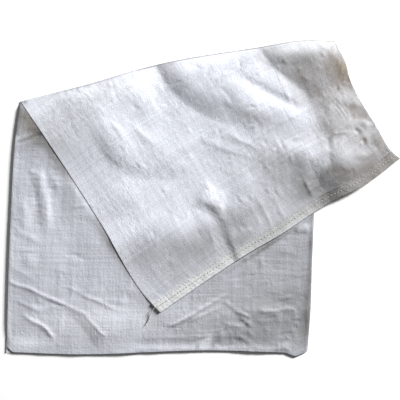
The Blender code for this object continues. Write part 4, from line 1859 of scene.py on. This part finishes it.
    def needle_holes(self, nodes: Weave) -> Socket:
        """Works out where the needle went through: two rows of dots of painted shade along the hem.

        Args:
            nodes: The cloth's nodes.

        Returns:
            How dark the holes make the cloth, from 0 to 1.
        """
        around = nodes.add("ShaderNodeSeparateXYZ", None, {"Vector": nodes.place}).outputs["X"]
        aside = nodes.marked("seam_offset")
        along = nodes.maths("PINGPONG", {0: around}, self.stitch / 2.0)
        rows = []
        for offset in self.seam_rows:
            beside = nodes.maths("SUBTRACT", {0: aside}, offset)
            rows.append(nodes.maths("ABSOLUTE", {0: beside}))
        closest = nodes.maths("MINIMUM", {0: rows[0], 1: rows[1]})
        spot = nodes.add("ShaderNodeCombineXYZ", None, {"X": along, "Y": closest}).outputs[0]
        away = nodes.add("ShaderNodeVectorMath", {"operation": "LENGTH"}, {0: spot}).outputs["Value"]
        inner, outer = self.hole_radii
        return nodes.spread(away, {
            "From Min": inner, "From Max": outer, "To Min": self.hole_depth, "To Max": 0.0,
        })

    def woven(self, nodes: Weave) -> Socket:
        """Gives the surface the weave's own relief.

        Args:
            nodes: The cloth's nodes.

        Returns:
            The normal.
        """
        height = nodes.maths("ABSOLUTE", {0: self.crossing(nodes)})
        return nodes.bumped({"Distance": self.weave_rise, "Strength": 0.6}, {"Height": height})

    def wrinkled(self, nodes: Weave, normal: Socket) -> Socket:
        """Adds wrinkles too fine for the mesh, and the puckers of the hem.

        Args:
            nodes: The cloth's nodes.
            normal: The normal before.

        Returns:
            The normal.
        """
        crinkle = nodes.noise(nodes.place, {
            "Scale": 190.0, "Detail": 3.0, "Roughness": 0.6, "Distortion": 0.8,
        }).outputs["Fac"]
        rise = nodes.spread(nodes.doubled, {
            "From Min": 0.5, "To Min": self.crinkle_rise, "To Max": self.pucker_rise,
        })
        return nodes.bumped({"Strength": 0.9}, {"Distance": rise, "Height": crinkle, "Normal": normal})

    def drawn_tight(self, nodes: Weave, normal: Socket) -> Socket:
        """Adds streaks both ways, where some tapes are drawn tighter than others.

        Args:
            nodes: The cloth's nodes.
            normal: The normal before.

        Returns:
            The normal.
        """
        rise = nodes.spread(nodes.doubled, {
            "From Max": 0.45, "To Min": self.tension_rise, "To Max": self.flap_tension * self.tension_rise,
        })
        for factors in ((1.0, 0.2, 1.0), (0.14, 1.0, 1.0)):
            streaks = nodes.drawn(nodes.tapes, factors)
            tension = nodes.noise(streaks, {"Scale": 0.45, "Detail": 2.0, "Roughness": 0.55}).outputs["Fac"]
            normal = nodes.bumped({}, {"Height": tension, "Distance": rise, "Normal": normal})
        return normal

    def faceted(self, nodes: Weave, normal: Socket) -> Socket:
        """Adds the small facets that handling has pressed into the cloth, in patches.

        Args:
            nodes: The cloth's nodes.
            normal: The normal before.

        Returns:
            The normal.
        """
        wander = nodes.noise(nodes.place, {"Scale": 45.0, "Detail": 2.0}).outputs["Color"]
        settings: Settings = {"operation": "MULTIPLY_ADD", 1: (0.03, 0.03, 0.0)}
        strayed = nodes.add("ShaderNodeVectorMath", settings, {0: wander, 2: nodes.place}).outputs["Vector"]
        settings = {"voronoi_dimensions": "2D", "feature": "F1", "Scale": 85.0}
        links: Links = {"Vector": nodes.drawn(strayed, (1.0, 0.6, 1.0))}
        facets = nodes.add("ShaderNodeTexVoronoi", settings, links).outputs["Distance"]
        patches = nodes.noise(nodes.place, {"Scale": 14.0, "Detail": 2.0}).outputs["Fac"]
        pressed = nodes.spread(patches, {
            "From Min": 0.4, "From Max": 0.65, "To Min": 0.1, "To Max": 0.9,
        })
        links = {"Height": facets, "Strength": pressed, "Normal": normal}
        return nodes.bumped({"Distance": self.facet_rise}, links)


@dataclass(frozen=True)
class SewingThread:
    """Spun polyester bag-closing thread, two yarns twisted together, dull and off-white.

    Fields:
        colour: Its colour.
        shade: Painted shade between the yarns.
        twist: Distance from yarn to yarn along the thread, in metres.
        groove: Depth between the yarns, in metres.
        roughness: Its dull finish.
    """

    colour: str = "#C4C3BD"
    shade: str = "#7F7E76"
    twist: float = 1.6 * MM
    groove: float = 0.2 * MM
    roughness: float = 0.85

    def material(self) -> bpy.types.Material:
        """Makes the thread's material: its twist and fuzz give it a dull, speckled look.

        Returns:
            The material.
        """
        material = bpy.data.materials.new("spun_polyester_bag_thread")
        material.use_nodes = True
        nodes = Nodes(material.node_tree)
        shader = nodes.tree.nodes["Principled BSDF"]
        place = nodes.add("ShaderNodeTexCoord").outputs["Object"]
        yarn = nodes.add("ShaderNodeTexWave", {
            "bands_direction": "DIAGONAL", "Scale": 0.5 / self.twist, "Distortion": 1.5, "Detail": 1.0,
        }, {"Vector": place}).outputs["Fac"]
        # painted shade between the yarns
        mixed = nodes.add("ShaderNodeMix", {
            "data_type": "RGBA", 6: linear(self.shade), 7: linear(self.colour),
        }, {0: yarn}).outputs[2]
        nodes.tree.links.new(mixed, shader.inputs["Base Color"])
        normal = nodes.bumped({"Distance": self.groove, "Strength": 0.8}, {"Height": yarn})
        nodes.tree.links.new(normal, shader.inputs["Normal"])
        shader.inputs["Roughness"].default_value = self.roughness
        return material


@dataclass(frozen=True)
class StudioFloor:
    """White laminated board, the plain surface that the sack lies on.

    Fields:
        colour: Its colour.
        roughness: Its dull finish.
    """

    colour: str = "#F6F6F6"
    roughness: float = 0.9

    def material(self) -> bpy.types.Material:
        """Makes the floor's material: plain, and dull enough to show no reflection.

        Returns:
            The material.
        """
        material = bpy.data.materials.new("white_laminate_floor")
        material.use_nodes = True
        shader = material.node_tree.nodes["Principled BSDF"]
        shader.inputs["Base Color"].default_value = linear(self.colour)
        shader.inputs["Roughness"].default_value = self.roughness
        return material


# The thread


def make_thread(
    name: str, points: np.ndarray, radius: float, material: bpy.types.Material
) -> bpy.types.Object:
    """Makes a thread along a line of points.

    Args:
        name: The piece's name.
        points: Positions in metres, one row each.
        radius: Half the thread's thickness, in metres.
        material: Its finish.

    Returns:
        A curve of one open spline.
    """
    thread = bpy.data.curves.new(name, "CURVE")
    thread.dimensions = "3D"
    thread.bevel_depth = radius
    thread.bevel_resolution = 2
    thread.use_fill_caps = True
    line = thread.splines.new("POLY")
    line.points.add(len(points) - 1)
    line.points.foreach_set("co", np.concatenate((points, np.ones((len(points), 1))), axis=1).ravel())
    line.use_smooth = True
    thread.materials.append(material)
    piece = bpy.data.objects.new(name, thread)
    bpy.context.scene.collection.objects.link(piece)
    return piece


@dataclass(frozen=True)
class Seam:
    """The chain stitch that closes the hem.

    Fields:
        stitch: Length of a stitch, in metres.
        radius: Half the thread's thickness, in metres.
        rise: How far a stitch arches over the cloth, in metres.
        sink: How far it goes into the cloth at the needle's holes, in metres.
        bluntness: Power of the stitch's arch; below 1 its back is flatter than a sine's.
        afloat: How much of its radius the thread's middle lies higher than that.
        points: Points for each stitch.
        samples: Points from which the hem's length is measured.
    """

    stitch: float = 5.8 * MM
    radius: float = 0.35 * MM
    rise: float = 0.35 * MM
    sink: float = 0.75 * MM
    bluntness: float = 0.7
    afloat: float = 0.4
    points: int = 8
    samples: int = 400

    def build(self, sack: WovenSack, thread: bpy.types.Material) -> bpy.types.Object:
        """Makes the stitches along the hem.

        Args:
            sack: The sack that they close.
            thread: The thread's finish.

        Returns:
            The piece, which replaces the CAD seam.
        """
        length = np.linalg.norm(np.diff(sack.seam_path(self.samples), axis=0), axis=1).sum()
        stitches = int(length / self.stitch)
        path = sack.seam_path(stitches * self.points + 1)
        arch = np.abs(np.sin(np.arange(len(path)) / self.points * np.pi)) ** self.bluntness
        path[:, 2] += (self.rise + self.sink) * arch - self.sink + self.radius * self.afloat
        piece = make_thread("hem_stitches", path, self.radius, thread)
        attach(piece, ROOT)
        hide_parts("seam_thread")
        LOG.info("hem_stitches: %d stitches over %.0f mm", stitches, length / MM)
        return piece


@dataclass(frozen=True)
class ThreadTail:
    """The loose end of the seam's thread, at the hem's left corner.

    Fields:
        route: Its points from the part's source, in millimetres.
        diameter: Its thickness, in metres.
        length: Its length, in metres; not used.
        count: How many points its curve has.
    """

    route: tuple[tuple[float, float, float], ...] = (
        (-79.1, -180.8, 10.6), (-82.5, -183.5, 10.0), (-84.5, -188.0, 8.4), (-87.0, -194.5, 7.5),
        (-89.0, -201.0, 7.6), (-92.0, -208.0, 7.9),
    )
    diameter: float = 1.2 * MM
    length: float = 31.0 * MM
    count: int = 20

    def build(self, thread: bpy.types.Material) -> bpy.types.Object:
        """Makes the loose thread.

        Args:
            thread: The thread's finish.

        Returns:
            The piece, a free cord that replaces the CAD one.
        """
        knots = np.array(self.route) * MM
        share = np.linspace(0.0, 1.0, self.count)
        flat = smooth_line(knots[:, :2], share)
        height = np.interp(share, np.linspace(0.0, 1.0, len(knots)), knots[:, 2])
        points = np.concatenate((flat, height[:, None]), axis=1)
        piece = make_thread("loose_thread_end", points, self.diameter / 2.0, thread)
        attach(piece, ROOT)
        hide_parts("thread_tail")
        LOG.info("loose_thread_end: %.1f mm", np.linalg.norm(np.diff(points, axis=0), axis=1).sum() / MM)
        return piece


# The studio


@dataclass(frozen=True)
class Studio:
    """The floor, the lights and the camera. Lengths in metres, angles in degrees.

    Fields:
        floor: The floor's finish.
        floor_side: Side of the floor.
        aim: Plan point under the camera.
        height: The camera's height.
        view: Width of the floor that it sees.
        key_turn: Direction of the main light from +X.
        key_rise: Its height above the horizon.
        key_distance: Its distance.
        key_size: Its side.
        key_power: Its power in watts.
        fill: Brightness of the even light from all round.
    """

    floor: StudioFloor = StudioFloor()
    floor_side: float = 8.0
    aim: tuple[float, float] = (-4.97 * MM, -3.64 * MM)
    height: float = 1.6
    view: float = 662.2 * MM
    key_turn: float = 38.0
    key_rise: float = 18.0
    key_distance: float = 6.0
    key_size: float = 1.5
    key_power: float = 1345.0
    fill: float = 0.145

    def build_camera(self) -> None:
        """Sets the camera over the sack, looking straight down."""
        lens = bpy.data.cameras.new("camera")
        lens.sensor_fit = "HORIZONTAL"
        lens.sensor_width = 36.0
        lens.lens = lens.sensor_width * self.height / self.view
        camera = bpy.data.objects.new("camera", lens)
        camera.location = (*self.aim, self.height)
        bpy.context.scene.collection.objects.link(camera)
        bpy.context.scene.camera = camera

    def build_floor(self) -> None:
        """Lays the floor under the sack."""
        board = bmesh.new()
        bmesh.ops.create_grid(board, x_segments=4, y_segments=4, size=self.floor_side / 2.0)
        mesh = bpy.data.meshes.new("floor")
        board.to_mesh(mesh)
        board.free()
        mesh.materials.append(self.floor.material())
        floor = bpy.data.objects.new("floor", mesh)
        bpy.context.scene.collection.objects.link(floor)

    def build_lights(self) -> None:
        """Sets one soft window-like light at the upper right and an even fill."""
        lamp = bpy.data.lights.new("key", "AREA")
        lamp.shape = "SQUARE"
        lamp.size = self.key_size
        lamp.energy = self.key_power
        key = bpy.data.objects.new("key", lamp)
        turn, rise = np.radians(self.key_turn), np.radians(self.key_rise)
        away = Vector((np.cos(rise) * np.cos(turn), np.cos(rise) * np.sin(turn), np.sin(rise)))
        key.location = away * self.key_distance
        key.rotation_mode = "QUATERNION"
        key.rotation_quaternion = away.to_track_quat("Z", "Y")
        bpy.context.scene.collection.objects.link(key)
        world = bpy.data.worlds.new("even_light")
        world.use_nodes = True
        world.node_tree.nodes["Background"].inputs["Color"].default_value = (1.0, 1.0, 1.0, 1.0)
        world.node_tree.nodes["Background"].inputs["Strength"].default_value = self.fill
        bpy.context.scene.world = world
        bpy.context.scene.view_settings.view_transform = "Standard"


def main() -> None:
    """Builds the studio, the thread, the sack and its seam, in that order."""
    logging.basicConfig(level=logging.INFO, format="%(name)s: %(message)s")
    studio = Studio()
    studio.build_camera()
    thread = SewingThread().material()
    ThreadTail().build(thread)
    sack = WovenSack(SackRoute(), WovenPolypropylene())
    sack.build()
    Seam().build(sack, thread)
    studio.build_floor()
    studio.build_lights()


if __name__ == "__main__":
    main()
